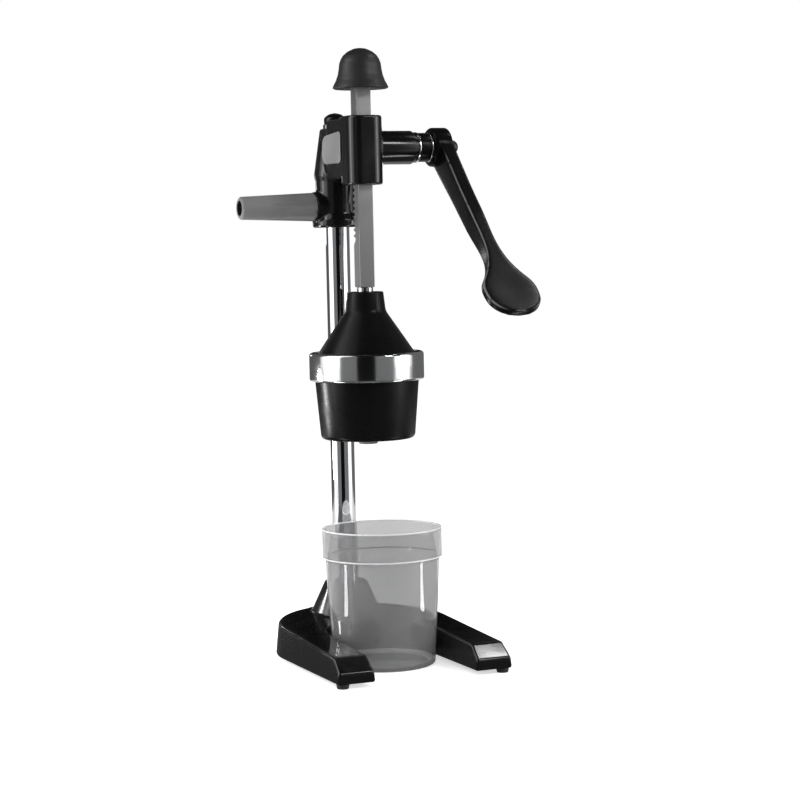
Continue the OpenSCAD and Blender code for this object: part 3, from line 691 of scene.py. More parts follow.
def slice_off(piece, point, slope):
    """Removes all above a plane that climbs to the rear."""
    edit(piece)
    select_all()
    bpy.ops.mesh.bisect(plane_co=at(*point), plane_no=(0, -sin(slope), cos(slope)),
                        use_fill=True, clear_outer=True)
    leave()


def horseshoe(name, inset):
    """The base as a block: outside, gap for the jar, sloping top and bevelled leg fronts."""
    low, high = edges("base_casting")
    floor_z = low.z - inset
    half = high.x - inset
    round_y = high.y - high.x
    lean = DRAFT * (high.z - floor_z)
    shape = d_block(name, half, round_y, low.y + inset, floor_z, high.z, -lean)
    bay_y = edges("jar")[0].y / 2 + edges("jar")[1].y / 2 + 2
    gap = d_block("gap", BAY_HALF + inset, bay_y, low.y - 20, floor_z - 1, high.z + 1, lean + 2 * DRAFT)
    cut(shape, gap)
    slice_off(shape, (0, low.y + BEVEL_RUN, LEG_TOP - inset), base_slope())
    slice_off(shape, (0, low.y, LIP_TOP - inset), BEVEL)
    tidy(shape)
    edit(shape)
    select_all()
    bpy.ops.mesh.dissolve_limited(angle_limit=radians(0.3))
    leave()
    return shape


def foot_places():
    """Centres of the four feet, front pair first."""
    low, high = edges("rubber_feet")
    rear_x = edges("base_casting")[1].x * REAR_FOOT_SHARE
    return [(-high.x + FOOT_R, low.y + FOOT_R), (high.x - FOOT_R, low.y + FOOT_R),
            (-rear_x, high.y - FOOT_R), (rear_x, high.y - FOOT_R)]


def base_slope():
    """Climb of the base top from the leg fronts to the rear."""
    low, high = edges("base_casting")
    return atan((REAR_TOP - LEG_TOP) / (high.y - low.y - BEVEL_RUN))


def socket():
    """Turned cone that holds the column, filleted into the sloping base top."""
    low, high = edges("base_casting")
    climb = tan(base_slope())
    plane = LEG_TOP + climb * (COLUMN_Y - low.y - BEVEL_RUN) - 0.2
    foot = plane + 6.5
    under = plane - 3
    taper = (SOCKET_FOOT_R - SOCKET_TOP_R) / (high.z - REAR_TOP + 6)
    foot_r = SOCKET_TOP_R + (high.z - plane) * taper
    skirt_r = foot_r + 6
    bore = COLUMN_R + RUN
    pillar = COLUMN_R + 7
    seat = low.z + WALL
    profile = [(bore, seat), (0, seat), (0, low.z), (pillar, low.z), (pillar, under), (skirt_r, under),
               (skirt_r, plane), (foot_r, plane, 7), (SOCKET_TOP_R, high.z, 1.6), (bore, high.z, 0.6)]
    shape = lathe("socket", profile, (0, COLUMN_Y, 0), steps=128)
    edit(shape)
    choose(shape, lambda p, n: p.z < foot and hypot(p.x, p.y - COLUMN_Y) > pillar + 1)
    for vert in bmesh.from_edit_mesh(shape.data).verts:
        if vert.select:
            vert.co.z += climb * (vert.co.y - at(0, COLUMN_Y, 0).y)
    bmesh.update_edit_mesh(shape.data)
    leave()
    lean = DRAFT * (high.z - low.z)
    outside = d_block("outside", high.x - 0.2, high.y - high.x, low.y, low.z - 1, high.z + 1, -lean)
    combine(shape, outside, "INTERSECT")
    for angle in (-GRUB_ANGLE, GRUB_ANGLE):
        aim = Vector((sin(angle), cos(angle), 0))
        start = Vector((0, COLUMN_Y, high.z - GRUB_DROP)) + aim * COLUMN_R
        cut(shape, rod("hole", start, start + aim * 40, BOLT_HOLE, sides=32))
    return shape


def base():
    low = edges("base_casting")[0]
    casting = horseshoe("base", 0)
    soften(casting, 2.8, 28, 5)
    cut(casting, horseshoe("hollow", WALL))
    for x, y in foot_places():
        boss = rod("boss", (x, y, low.z), (x, y, REAR_TOP - WALL), FOOT_R, sides=48)
        slice_off(boss, (0, low.y, LIP_TOP - 2), BEVEL)
        add(casting, boss)
    for x, y in foot_places():
        cut(casting, rod("hole", (x, y, low.z - 1), (x, y, LIP_TOP - 1), SCREW_HOLE, sides=24))
    tidy(casting)
    casting = join("base", [casting, socket()])
    fit(casting, "frame", "gloss_black", "base_casting", 30)
    even_normals(casting)


def feet():
    tall = edges("rubber_feet")[1].z
    head_r = 3.3
    head_deep = 2.6
    profile = [(SCREW_HOLE, tall), (FOOT_R - 0.2, tall, 0.4), (FOOT_R, tall - 0.6), (FOOT_R - 0.6, 0.6, 0.4),
               (FOOT_R - 1, 0), (head_r, 0), (head_r, head_deep), (SCREW_HOLE, head_deep)]
    shapes = [lathe(f"foot_{k}", profile, (x, y, 0), steps=48) for k, (x, y) in enumerate(foot_places())]
    fit(join("feet", shapes), "frame", "foot_rubber", "rubber_feet")


# Column

def column():
    foot, tall, _ = upright("column_tube")
    profile = [(TUBE_IN, 0), (COLUMN_R - 0.5, 0), (COLUMN_R, 0.5), (COLUMN_R, tall - 0.6),
               (COLUMN_R - 0.6, tall), (TUBE_IN, tall)]
    tube = lathe("column", profile, (0, COLUMN_Y, foot), steps=128)
    fit(tube, "frame", "chrome_tube", "column_tube")


def cap():
    foot, tall, out = upright("column_cap")
    seat = edges("column_tube")[1].z - foot
    plug = TUBE_IN - RUN
    hollow = plug - 0.95
    profile = [(0, seat - 1), (hollow, seat - 1), (hollow, 0), (plug, 0), (plug, seat), (out, seat, 0.6),
               (out, tall - 5, 4), (out * 0.55, tall - 1.2, 9), (0, tall)]
    fit(lathe("column_end", profile, (0, COLUMN_Y, foot)), "frame", "cap_black", "column_cap")


# Head

# Sizes shared by the head, its rack guide and the split clamps
HEAD_HALF = -edges("badge_plate")[1].x
GUIDE_TALL = 71
EAR_HALF = 7.5
SLOT_HALF = 1.5
SEAT_HALF = 7.0
SPOT_R = 5.2
BOLT_IN = 7
GEAR_ROOM_R = 22.5
SCREW_CIRCLE = 25.8


def guide():
    """Block round the rack bar with large round front corners."""
    low, high = edges("head_casting")
    shape = block("guide", (-HEAD_HALF, low.y, high.z - GUIDE_TALL), (HEAD_HALF, 12, high.z))
    edit(shape)
    choose(shape, lambda p, n: p.y < 0 and abs(n.z) > 0.9, "EDGE")
    bpy.ops.mesh.bevel(offset=14 * MM, segments=14, affect="EDGES")
    leave()
    soften(shape, 2.2, 40, 4)
    return shape


def clamp():
    """Split barrel that grips the column, with a flared collar at its lower end."""
    low = edges("head_casting")[0].z
    profile = [(6, 0), (24.5, 0, 0.8), (26, 2, 1.5), (26, 8, 2), (22.7, 15, 6), (21.7, 25, 8), (22.3, 49, 3),
               (23.5, 55, 4), (16.3, 102.5, 1.5), (15.1, 104), (6, 104)]
    return lathe("clamp", profile, (0, COLUMN_Y, low))


def column_room(low, high):
    """Room for the column and for the slot behind it that lets a clamp close."""
    return [rod("room", (0, COLUMN_Y, low), (0, COLUMN_Y, high), COLUMN_R + RUN),
            block("room", (-SLOT_HALF, COLUMN_Y, low), (SLOT_HALF, COLUMN_Y + 60, high))]


def pinch_room(y, z):
    """Room for a bolt across a split clamp, with a spot face for its head and one for its nut."""
    seat_end = SEAT_HALF + 10
    return [rod("room", (-40, y, z), (40, y, z), BOLT_HOLE, sides=32),
            rod("room", (SEAT_HALF, y, z), (seat_end, y, z), SPOT_R, sides=48),
            rod("room", (-seat_end, y, z), (-SEAT_HALF, y, z), SPOT_R, sides=48)]


def head():
    low, high = edges("head_casting")
    gib_low, gib_high = edges("rack_gib")
    housing = block("housing", (-HEAD_HALF, 0, CRANK.z - 33), (HEAD_HALF, CRANK.y + 28.5, CRANK.z + 30))
    bridge = block("bridge", (1 - HEAD_HALF, 10, CRANK.z - 27), (HEAD_HALF - 1, COLUMN_Y, CRANK.z + 22))
    soften(housing, 4, 40, 4)
    soften(bridge, 4, 40, 4)
    boss = rod("boss", (low.x, COLUMN_Y, HANDLE_Z), (-6, COLUMN_Y, HANDLE_Z), 15.8, 16.6)
    ears = block("ears", (-EAR_HALF, COLUMN_Y + 6, low.z + 8), (EAR_HALF, high.y, low.z + 92))
    soften(ears, 3, 40, 4)
    casting = join("head", [guide(), housing, bridge, clamp(), boss, ears])
    melt(casting, 0.85, 6)
    under = low.z - 10
    over = high.z + 16
    bar = -gib_high.y
    gib_half = gib_high.x + RUN
    gear_left = edges("bush_left")[1].x
    room = block("room", (-bar, -bar, under), (bar, bar, over))
    add(room, block("room", (-gib_half, gib_low.y, gib_low.z), (gib_half, gib_high.y + 0.85, gib_high.z)),
        rod("room", (gear_left, CRANK.y, CRANK.z), (25, CRANK.y, CRANK.z), GEAR_ROOM_R),
        rod("room", (-25, CRANK.y, CRANK.z), (0, CRANK.y, CRANK.z), BUSH_HOLE),
        *column_room(under, over),
        rod("room", (-40, COLUMN_Y, HANDLE_Z), (0, COLUMN_Y, HANDLE_Z), ROD_HOLE))
    for z in (low.z + 18, low.z + 66):
        add(room, *pinch_room(high.y - BOLT_IN, z))
    cut(casting, room)
    tidy(casting)
    fit(casting, "frame", "gloss_black", "head_casting", 40)


def name_plate():
    """Bare plate on the left flank of the head."""
    low, high = edges("badge_plate")
    wide = high.y - low.y
    tall = high.z - low.z
    outline = [(wide / 2, 0), (wide, 0, 11), (wide - 4, tall - 4, 11), (0, tall, 5), (0, 0, 5)]
    shape = plate("side_plate", outline, (high.x, low.y, low.z), REARWARD, UP, low.x - high.x)
    soften(shape, 0.4, 50, 3)
    fit(shape, "frame", "plate_grey", "badge_plate")
    even_normals(shape)


def sleeve():
    """Bearing sleeve of the crank with its flange."""
    low, high = edges("bearing_sleeve")
    length = high.x - HEAD_HALF
    inner = low.x - HEAD_HALF
    flange = (high.z - low.z) / 2
    spigot = GEAR_ROOM_R - 0.1
    barrel = 17.5
    nose = 15.7
    step = length - 4
    profile = [(BUSH_HOLE, inner), (spigot, inner), (spigot, 0), (flange, 0), (flange, 4, 1.2), (19.5, 4, 2),
               (barrel, 7, 2.5), (barrel, step, 1), (nose, step, 0.3), (nose, length, 0.6),
               (BUSH_HOLE, length)]
    shape = lathe("sleeve", profile, (HEAD_HALF, CRANK.y, CRANK.z), RIGHT)
    for k in range(4):
        angle = radians(45 + 90 * k)
        y = CRANK.y + SCREW_CIRCLE * cos(angle)
        z = CRANK.z + SCREW_CIRCLE * sin(angle)
        cut(shape, rod("hole", (8, y, z), (30, y, z), SCREW_HOLE, sides=24))
    tidy(shape)
    fit(shape, "frame", "gloss_black", "bearing_sleeve")


# Side handle

FLUTES = 8
FLUTE_R = 8
FLUTE_DEEP = 1.2
FLUTE_REACH = 57


def grip():
    """Tapered grip with lens shaped flutes and a hole in its end."""
    low, high = edges("handle_grip")
    length = high.x - low.x
    root = 15.0
    end = 12.0
    floor_at = length - 13
    profile = [(ROD_HOLE, 0), (root, 0, 0.8), (end, length - 1.5, 2.5), (end - 1.7, length, 0.8),
               (GRIP_HOLE, length, 0.6), (GRIP_HOLE, floor_at), (ROD_HOLE, floor_at)]
    shape = lathe("grip", profile, (high.x, COLUMN_Y, HANDLE_Z), LEFT, steps=128)
    place = Matrix.Translation(at(high.x - length * 0.5, COLUMN_Y, HANDLE_Z))
    lift = Matrix.Translation((0, 0, ((root + end) / 2 + FLUTE_R - FLUTE_DEEP) * MM))
    lean = Matrix.Rotation(atan((root - end) / length), 4, "Y")
    stretch = Matrix.Diagonal((FLUTE_REACH / FLUTE_R, 1, 1, 1))
    cutters = []
    for k in range(FLUTES):
        clear_selection()
        turn = Matrix.Rotation(2 * pi * (k + 0.5) / FLUTES, 4, "X")
        bpy.ops.mesh.primitive_uv_sphere_add(segments=64, ring_count=32, radius=FLUTE_R * MM)
        bpy.context.object.matrix_world = place @ turn @ lift @ lean @ stretch
        cutters.append(placed("flute"))
    cut(shape, join("flutes", cutters))
    tidy(shape)
    fit(shape, "frame", "grip_grey", "handle_grip", 25)
    even_normals(shape)


# Pot

RIM_IN = 52.5


def pot():
    foot, tall, rim_r = upright("pot_casting")
    low_r = 48.6
    spout = 7.85
    step = tall - 19
    profile = [(spout, 0), (low_r, 0, 5), (rim_r, tall, 0.6), (RIM_IN, tall), (52.2, step), (49.9, step),
               (low_r - 3.7, 14, 6), (spout, 6.8)]
    bowl = lathe("pot", profile, (0, 0, foot), steps=128)
    fit(bowl, "frame", "satin_black", "pot_casting")


def pot_clamp():
    """Split collar that carries the pot on the column."""
    low, high = edges("pot_casting")
    foot = low.z + 8
    top = edges("steel_ring")[0].z - 5
    collar = rod("pot_clamp", (0, COLUMN_Y, foot), (0, COLUMN_Y, top), COLUMN_R + 5.8)
    neck = block("neck", (-13, 50, foot + 4), (13, 62, top - 4))
    ears = block("ears", (-EAR_HALF, COLUMN_Y + 6, foot + 6), (EAR_HALF, high.y, top - 6))
    soften(collar, 1.5, 50)
    soften(ears, 2.5, 40)
    shape = join("pot_clamp", [collar, neck, ears])
    melt(shape, 0.8, 5)
    room, slot = column_room(foot - 5, top + 5)
    add(room, slot, *pinch_room(high.y - BOLT_IN, (foot + top) / 2))
    cut(shape, room)
    tidy(shape)
    fit(shape, "frame", "satin_black", "pot_casting", 40)


def ring():
    """Polished sheet ring folded over the rim of the pot."""
    foot, tall, out = upright("steel_ring")
    sheet = 1.2
    fold = 3.2
    low_in = 54.25
    profile = [(out, tall / 2), (out, tall, fold), (RIM_IN, tall, 0.4), (RIM_IN, tall - sheet),
               (out - sheet, tall - sheet, fold - sheet), (out - sheet, sheet, fold - sheet), (low_in, sheet),
               (low_in, 0), (out, 0, fold)]
    fit(lathe("steel_band", profile, (0, 0, foot), steps=160), "frame", "polished_steel", "steel_ring")


def nozzle():
    foot, tall, out = upright("spout_nozzle")
    bore = 6.3
    collar = 5.5
    neck = out - 2.5
    profile = [(bore, 0.5), (bore + 0.5, 0), (out - 0.6, 0, 0.8), (out, collar, 0.3), (neck, collar),
               (neck, tall), (bore, tall)]
    fit(lathe("nozzle", profile, (0, 0, foot), steps=72), "frame", "grip_grey", "spout_nozzle")


# Ram

RIBS = 8
RIB_T = 2.5


def rack():
    """Square bar with a row of teeth on its rear face."""
    half = 8.0
    module = 2.0
    pitch = pi * module
    low_z = edges("bell_lock_nut")[1].z
    high_z = edges("top_knob")[0].z + 16
    deep = 1.25 * module
    root = half - module - deep
    slant = tan(radians(20))
    tooth = pitch / 4 - 0.15
    first = -15
    last = 3
    start = CRANK.z + (first - 1) * pitch
    stop = CRANK.z + (last + 2) * pitch
    outline = [(-half, low_z), (half, low_z), (half, start), (root, start + 5)]
    for k in range(first, last + 1):
        z = CRANK.z + (k + 0.5) * pitch
        foot_half = tooth + deep * slant
        tip_half = tooth - module * slant
        outline += [(root, z - foot_half), (half, z - tip_half), (half, z + tip_half), (root, z + foot_half)]
    outline += [(root, stop - 5), (half, stop), (half, high_z), (-half, high_z)]
    bar = plate("rack", outline, (-half, 0, 0), REARWARD, UP, 2 * half)
    edit(bar)
    choose(bar, lambda p, n: abs(p.x) > 7.9 and p.y < -7.9 and abs(n.z) > 0.9, "EDGE")
    bpy.ops.mesh.bevel(offset=0.7 * MM, segments=3, affect="EDGES")
    leave()
    soften(bar, 0.3, 60, 2)
    foot = edges("rack_bar")[0].z
    stem_r = STEM_HOLE - RUN
    stem_tall = low_z - foot + 1
    profile = [(0, 0), (stem_r - 0.6, 0), (stem_r, 0.6), (stem_r, stem_tall), (0, stem_tall)]
    fit(join("rack", [bar, lathe("stem", profile, (0, 0, foot))]), "ram", "rack_grey", "rack_bar", 30)
    even_normals(bar)


def knob():
    foot, tall, out = upright("top_knob")
    profile = [(0, 2.2), (20.5, 2.2, 1), (26.6, 0, 0.8), (out, 1.2, 1.0), (out * 0.945, 4.6, 3),
               (out * 0.87, 8.6, 5), (out * 0.8, 14.3, 9), (out * 0.762, 20, 9), (out * 0.738, 26, 8),
               (out * 0.68, 30.6, 6), (out * 0.6, 34.2, 6), (out * 0.45, 38, 8), (out * 0.22, 41.2, 10),
               (0, tall)]
    fit(lathe("knob", profile, (0, 0, foot), steps=128), "ram", "knob_black", "top_knob", 50)


def lock_nut():
    foot, tall, out = upright("bell_lock_nut")
    profile = [(STEM_HOLE, 0), (out - 0.5, 0), (out, 0.5), (out, tall - 0.7), (out - 0.7, tall),
               (STEM_HOLE, tall)]
    fit(lathe("lock_nut", profile, (0, 0, foot), steps=72), "ram", "bright_steel", "bell_lock_nut")


def bell():
    """Press bell: neck, cone and skirt, hollow, with ribs inside."""
    foot, tall, out = upright("press_bell")
    neck = 18.8
    inner = out - 5
    ceiling = 42
    profile = [(STEM_HOLE, tall), (neck, tall, 1.2), (neck + 2.2, tall - 20, 14), (out - 0.4, 16.4, 3),
               (out, 0, 1.2), (inner, 0, 0.8), (inner, 6, 2), (12, ceiling), (STEM_HOLE, ceiling)]
    pieces = [lathe("bell", profile, (0, 0, foot), steps=128)]
    outline = [(11.5, ceiling + 1), (14, ceiling - 6), (inner - 4, 5), (inner + 1, 4), (inner + 1, 8),
               (13, ceiling + 1)]
    for k in range(RIBS):
        angle = 2 * pi * (k + 0.5) / RIBS
        out_way = Vector((cos(angle), sin(angle), 0))
        side = UP.cross(out_way) * RIB_T / 2
        pieces.append(plate("rib", outline, (side.x, side.y, foot), out_way, UP, RIB_T))
    fit(join("bell", pieces), "ram", "satin_black", "press_bell", 30)


# Crank

def washer(name, node, slot, bore, edge):
    """Turned ring on the crank axis with broken edges."""
    low, high = edges(node)
    out = (high.z - low.z) / 2
    thick = high.x - low.x
    profile = [(bore, 0), (out, 0, edge), (out, thick, edge), (bore, thick)]
    fit(lathe(name, profile, (low.x, CRANK.y, CRANK.z), RIGHT, steps=96), "crank", slot, node)


def dome_nut():
    low, high = edges("crank_nut")
    corner = (high.z - low.z) / 2 / cos(pi / 6)
    hexagon = [(corner * cos(pi / 3 * k), corner * sin(pi / 3 * k)) for k in range(6)]
    start = (low.x, CRANK.y, CRANK.z)
    body = plate("dome_nut", hexagon, start, REARWARD, UP, 5)
    soften(body, 0.6, 50, 3)
    profile = [(0, 4), (7.2, 4), (7.2, 6.2, 1.5), (6.3, 8.5, 3), (4.2, 10.5, 4), (0, high.x - low.x)]
    dome = lathe("dome", profile, start, RIGHT, steps=72)
    fit(join("dome_nut", [body, dome]), "crank", "black_oxide", "crank_nut", 40)


def blend(t, start, end, slope):
    """Cubic from start to end over t 0 to 1, level at first and with the given slope at last."""
    rise = 3 * t ** 2 - 2 * t ** 3
    return start * (2 * t ** 3 - 3 * t ** 2 + 1) + end * rise + slope * (t ** 3 - t ** 2)


# Lever: BEND, NECK, PADDLE_IN, PADDLE_MID and REACH lie along it, counted from the crank axis
HUB_R = 20.5
ARM_HALF = 7.5
REACH = 253.0
PADDLE_R = 29.5
PADDLE_T = 8.5
FACE = 11.9
PADDLE_FACE = FACE - 4
ROOT = FACE + 5
BEND = 0.3 * REACH
NECK = 0.45 * REACH
PADDLE_MID = REACH - PADDLE_R
SHOULDER = asin(0.58)
PADDLE_IN = PADDLE_MID - PADDLE_R * sin(SHOULDER)
BLUNT = 0.8
REST_ANGLE = 47.0
DRIVE_HALF = 5.65
DISH_DEEP = 0.4
DISH_REACH = 24


def lever_front(length):
    """Depth of the front face at a distance from the hub."""
    if length < BEND:
        return -ROOT + (ROOT - FACE - 0.6) * length / BEND
    if length < NECK:
        return -FACE - 0.6 * (NECK - length) / (NECK - BEND)
    return -FACE + (FACE - PADDLE_FACE) * min(1, (length - NECK) / (PADDLE_MID - NECK))


def lever_back(length):
    """Depth of the back face at a distance from the hub."""
    if length < BEND:
        return ROOT + (FACE + 1 - ROOT) * length / BEND
    if length < NECK:
        return FACE + 1 - (length - BEND) / (NECK - BEND)
    t = min(1, (length - NECK) / (PADDLE_MID - NECK))
    return blend(t, FACE, PADDLE_T - PADDLE_FACE, 0)


def lever_rows():
    """Distance from the hub and half width of the lever, row by row."""
    rows = [(NECK * k / 10, ARM_HALF) for k in range(10)]
    slope = tan(SHOULDER) * (PADDLE_IN - NECK)
    for k in range(14):
        t = k / 14
        wide = blend(t, ARM_HALF, PADDLE_R * cos(SHOULDER), slope)
        rows.append((NECK + t * (PADDLE_IN - NECK), wide))
    for k in range(7):
        angle = SHOULDER * (1 - k / 7)
        rows.append((PADDLE_MID - PADDLE_R * sin(angle), PADDLE_R * cos(angle)))
    for k in range(22):
        angle = radians(89) * k / 21
        long = sin(angle) ** BLUNT
        wide = cos(angle) ** BLUNT
        rows.append((PADDLE_MID + PADDLE_R * long, PADDLE_R * wide))
    return rows


def lever():
    """Spoon ended lever: rows are extruded from the hub to the tip, then given their depth."""
    rows = lever_rows()
    clear_selection()
    bpy.ops.mesh.primitive_grid_add(x_subdivisions=4, y_subdivisions=1, size=2 * ARM_HALF * MM)
    arm = placed("lever")
    edit(arm)
    choose(arm, lambda p, n: p.y + RAM.y / MM > 0)
    bpy.ops.mesh.delete(type="VERT")
    select_all()
    bpy.ops.transform.translate(value=(0, lever_front(0) * MM + ARM_HALF * MM, 0))
    for (here, width), (there, wider) in zip(rows, rows[1:]):
        forth = lever_front(there) - lever_front(here)
        extrude((0, forth * MM, (here - there) * MM))
        bpy.ops.transform.resize(value=(wider / width, 1, 1), center_override=(0, 0, 0))
    select_all()
    extrude((0, PADDLE_T * MM, 0))
    shift = RAM_FOOT / MM
    for there, _ in rows:
        front = lever_front(there)

        def back_row(p, n):
            place = p + shift
            return abs(place.z + there) < 0.02 and place.y > front + PADDLE_T / 2

        choose(arm, back_row)
        bpy.ops.transform.translate(value=(0, (lever_back(there) - front - PADDLE_T) * MM, 0))
    leave()
    tidy(arm)
    soften(arm, 1.9, 40, 2)
    edit(arm)
    dish = Vector((0, -PADDLE_FACE, -PADDLE_MID))
    choose(arm, lambda p, n: (p + shift - dish).length < 4)
    bpy.ops.transform.translate(value=(0, DISH_DEEP * MM, 0), use_proportional_edit=True,
                                proportional_edit_falloff="SMOOTH", proportional_size=DISH_REACH * MM)
    leave()
    apply_modifier(arm, "SUBSURF", levels=2)
    low, high = edges("crank_lever")
    arm_x = (low.x + high.x) / 2
    inner = edges("hub_washer")[1].x - arm_x
    profile = [(0, inner), (HUB_R, inner, 4), (HUB_R, ARM_HALF, 3), (0, ARM_HALF)]
    add(arm, lathe("hub", profile, -shift, RIGHT))
    activate(arm)
    arm.rotation_euler = (radians(-REST_ANGLE), 0, 0)
    arm.location = at(arm_x, CRANK.y, CRANK.z)
    bpy.ops.object.transform_apply(location=True, rotation=True, scale=True)
    near = (low.x, CRANK.y - DRIVE_HALF, CRANK.z - DRIVE_HALF)
    far = (high.x, CRANK.y + DRIVE_HALF, CRANK.z + DRIVE_HALF)
    cut(arm, block("drive", near, far))
    tidy(arm)
    fit(arm, "crank", "satin_black", "crank_lever", 40, LEVER_BLACK)


# Jar

def jar():
    low, high = edges("jar")
    out = high.x
    tall = high.z
    wall = 2.4
    foot = 52.5
    body = out - 2.6
    band = tall - 30
    wall_top = tall - 1.3
    lip_foot = tall - 1.2
    floor_top = wall + 1.2
    bead_out = out + 0.3
    bead_in = out - 1
    centre = (0, (low.y + high.y) / 2, 0)
    profile = [(0, 1.2), (foot - 9, 1.2), (foot - 7, 0, 0.8), (foot, 0, 3.5), (body, band - 2, 1.5),
               (out, band + 1, 1.5), (out, wall_top), (out - wall, wall_top), (out - wall, band + 1.6, 1.5),
               (body - wall, band - 2, 1.5), (foot - wall, floor_top, 4), (0, floor_top)]
    fit(lathe("jar_wall", profile, centre, steps=160), "jar_body", "clear_jar", "jar")
    lip = [(out, lip_foot), (out, tall, 1.1), (out - wall, tall, 1.1), (out - wall, lip_foot)]
    bead = [(bead_in, band - 0.6), (bead_out, band - 0.2, 0.5), (bead_out, band + 1.2, 0.5),
            (bead_in, band + 1.4)]
    rings = [lathe("jar_lip", lip, centre, steps=160), lathe("jar_bead", bead, centre, steps=160)]
    # The lip and the bead get a paler finish: a painted highlight of the jar's bright rim lines.
    fit(join("jar_edges", rings), "jar_body", "clear_jar", "jar", finish=JAR_RIM_HIGHLIGHT)


# Nodes that keep their own shape

def finish_nodes():
    """Gives each node that stays its finish."""
    for part in frame["record"]["subparts"]:
        node = frame["nodes"][part["node"]]
        for holder in node.material_slots:
            holder.material = FINISH[part["material_slot"]]


# Studio

def look_finish(name, colour, strength, seen_white):
    """Stage material: a glow, or a plain colour lifted to white for the camera and through glass."""
    material = bpy.data.materials.new(name)
    material.use_nodes = True
    tree = material.node_tree
    tree.nodes.clear()
    output = add_node(tree, "OutputMaterial")
    glow = add_node(tree, "Emission", Color=(*colour, 1), Strength=strength)
    if not seen_white:
        tree.links.new(glow.outputs[0], output.inputs["Surface"])
        return material
    matt = add_node(tree, "BsdfDiffuse", Color=(*colour, 1))
    rays = add_node(tree, "LightPath").outputs
    both = add_node(tree, "AddShader")
    seen = calculate(tree, "MAXIMUM", rays["Is Camera Ray"], rays["Is Transmission Ray"])
    wire(tree, (calculate(tree, "MULTIPLY", seen, strength), glow.inputs["Strength"]),
         (matt.outputs[0], both.inputs[0]),
         (glow.outputs[0], both.inputs[1]),
         (both.outputs[0], output.inputs["Surface"]))
    return material


def floor():
    clear_selection()
    bpy.ops.mesh.primitive_plane_add(size=12)
    sheet = placed("floor")
    sheet.data.materials.append(look_finish("pale_floor", (0.86, 0.86, 0.86), 0.72, True))


AIM = Vector((0, 0, 0.3))
CAMERA_AZIMUTH = -22.9437
CAMERA_PITCH = 4.313
CAMERA_ROLL = -1.232
CAMERA_DISTANCE = 2.38163
CAMERA_LENS = 103.37
TARGET_Z = 270.24
TARGET_ACROSS = 33.69


def compass(azimuth, pitch=0.0):
    """Direction from the press, in degrees round from the camera's side and above the floor."""
    a = radians(CAMERA_AZIMUTH + azimuth)
    e = radians(pitch)
    return Vector((sin(a) * cos(e), -cos(a) * cos(e), sin(e)))


def facing(way):
    return way.to_track_quat("Z", "Y").to_euler()


def softbox(name, azimuth, pitch, distance, width, height, watts):
    data = bpy.data.lights.new(name, "AREA")
    data.shape = "RECTANGLE"
    data.size = width
    data.size_y = height
    data.energy = watts
    lamp = bpy.data.objects.new(name, data)
    bpy.context.collection.objects.link(lamp)
    way = compass(azimuth, pitch)
    lamp.location = AIM + way * distance
    lamp.rotation_euler = facing(way)
    lamp.visible_camera = False


def card(name, place, turn, width, height, shade):
    """Studio card that only reflections see."""
    clear_selection()
    bpy.ops.mesh.primitive_plane_add(size=1, location=place, rotation=turn)
    bpy.context.object.scale = (width, height, 1)
    sheet = placed(name)
    sheet.data.materials.append(look_finish(name, (shade, shade, shade), 1.0, False))
    sheet.visible_camera = False
    sheet.visible_diffuse = False
    sheet.visible_transmission = False
    sheet.visible_shadow = False


def panel(name, azimuth, distance, width, height, shade):
    """Upright card that faces the press."""
    way = compass(azimuth)
    card(name, AIM + way * distance, facing(way), width, height, shade)


def studio():
    softbox("left_softbox", -75, 8, 1.5, 1.1, 1.8, 6.5)
    softbox("right_softbox", 78, 8, 1.5, 1.0, 1.8, 6)
    softbox("left_core", -80, 4, 1.4, 0.24, 1.5, 4.5)
    softbox("right_core", 80, 4, 1.4, 0.2, 1.5, 4.5)
    softbox("upper_left_softbox", -62, 50, 1.6, 0.8, 0.8, 3)
    softbox("right_overhead", 108.5, 57.1, 1.43, 0.18, 0.13, 1.8)
    softbox("socket_glint", -106, -11.4, 0.538, 0.06, 0.12, 1.3)
    softbox("leg_edge_light", -149, 8.7, 1.3, 0.1, 0.15, 0.4)
    softbox("key", 51, 35, 1.5, 0.35, 0.25, 4)
    softbox("ridge_strip", -83, 45, 1.6, 0.9, 0.1, 3)
    panel("front_panel", -1, 1.05, 0.7, 2.2, 0.005)
    panel("left_grey_panel", -32, 1.2, 0.96, 2.2, 0.2)
    panel("right_grey_panel", 34, 1.2, 1.0, 2.2, 0.2)
    panel("left_rear_panel", -138, 1.3, 1.8, 2.6, 0.1)
    panel("right_rear_panel", 138, 1.3, 1.8, 2.6, 0.15)
    panel("rear_panel", 180, 1.6, 1.9, 2.2, 0.004)
    card("ceiling", Vector((0, 0, 2)), (pi, 0, 0), 4.4, 4.4, 0.012)
    turn = radians(CAMERA_AZIMUTH)
    card("floor_shade", compass(0) * 0.35 + UP * 0.002, (0, 0, turn), 2.0, 1.5, 0.12)
    for name, side in (("left_streak", -75), ("right_streak", 80)):
        turn = radians(CAMERA_AZIMUTH + side)
        card(name, compass(side) * 0.39 + UP * 0.003, (0, 0, turn), 0.04, 0.36, 12)


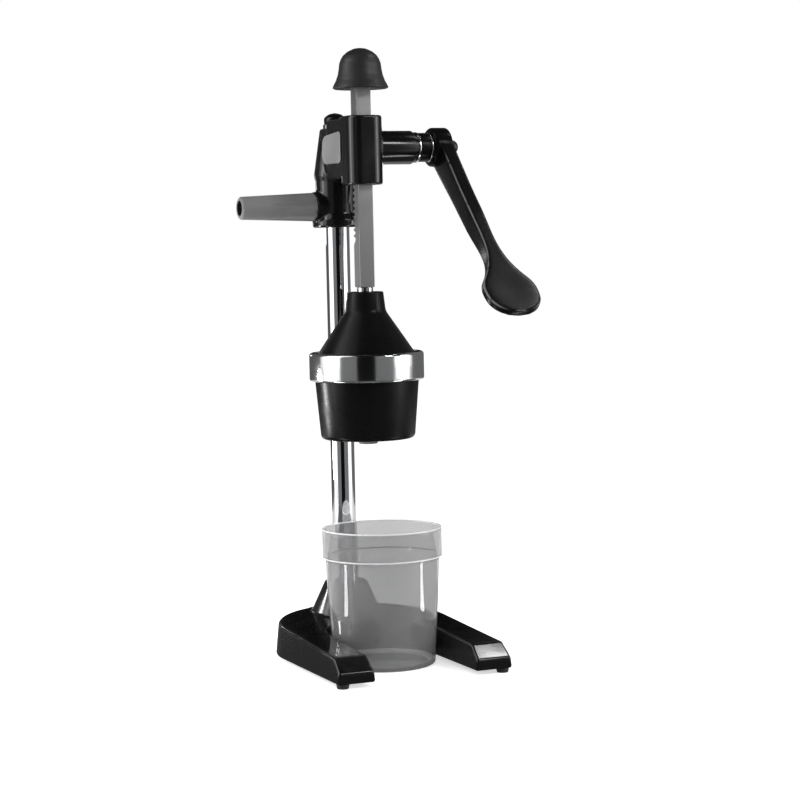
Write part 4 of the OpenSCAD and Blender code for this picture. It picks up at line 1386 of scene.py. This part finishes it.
def daylight():
    """White round the press for camera, metal and glass; plain soft light for the rest."""
    world = bpy.data.worlds.new("studio")
    bpy.context.scene.world = world
    world.use_nodes = True
    tree = world.node_tree
    tree.nodes.clear()
    output = add_node(tree, "OutputWorld")
    rays = add_node(tree, "LightPath").outputs
    soft = add_node(tree, "Background", Color=(1, 1, 1, 1), Strength=0.55)
    white = add_node(tree, "Background", Color=(1, 1, 1, 1), Strength=1.0)
    mix = add_node(tree, "MixShader")
    seen = calculate(tree, "MAXIMUM", rays["Is Camera Ray"], rays["Is Glossy Ray"])
    wire(tree, (calculate(tree, "MAXIMUM", seen, rays["Is Transmission Ray"]), mix.inputs[0]),
         (soft.outputs[0], mix.inputs[1]),
         (white.outputs[0], mix.inputs[2]),
         (mix.outputs[0], output.inputs["Surface"]))


def camera():
    data = bpy.data.cameras.new("camera")
    data.lens = CAMERA_LENS
    data.clip_end = 50
    eye = bpy.data.objects.new("camera", data)
    bpy.context.collection.objects.link(eye)
    a = radians(CAMERA_AZIMUTH)
    across = Vector((cos(a), sin(a), 0))
    back = compass(0, CAMERA_PITCH)
    target = at(0, 0, TARGET_Z) + across * TARGET_ACROSS * MM
    turn = Matrix((across, back.cross(across), back)).transposed()
    roll = Matrix.Rotation(radians(CAMERA_ROLL), 3, "Z")
    eye.matrix_world = Matrix.Translation(target + back * CAMERA_DISTANCE) @ (turn @ roll).to_4x4()
    bpy.context.scene.camera = eye


finish_nodes()
base()
feet()
column()
cap()
head()
name_plate()
sleeve()
grip()
pot()
pot_clamp()
ring()
nozzle()
rack()
knob()
lock_nut()
bell()
washer("thrust_ring", "thrust_washer", "bright_steel", SHAFT_HOLE, 0.5)
washer("collar", "crank_collar", "satin_black", SHAFT_HOLE, 1.0)
washer("hub_ring", "hub_washer", "bright_steel", SHAFT_HOLE, 0.5)
washer("nut_ring", "nut_washer", "bright_steel", ROD_HOLE, 0.3)
lever()
dome_nut()
jar()
floor()
studio()
daylight()
camera()
bpy.context.scene.view_settings.view_transform = "Standard"
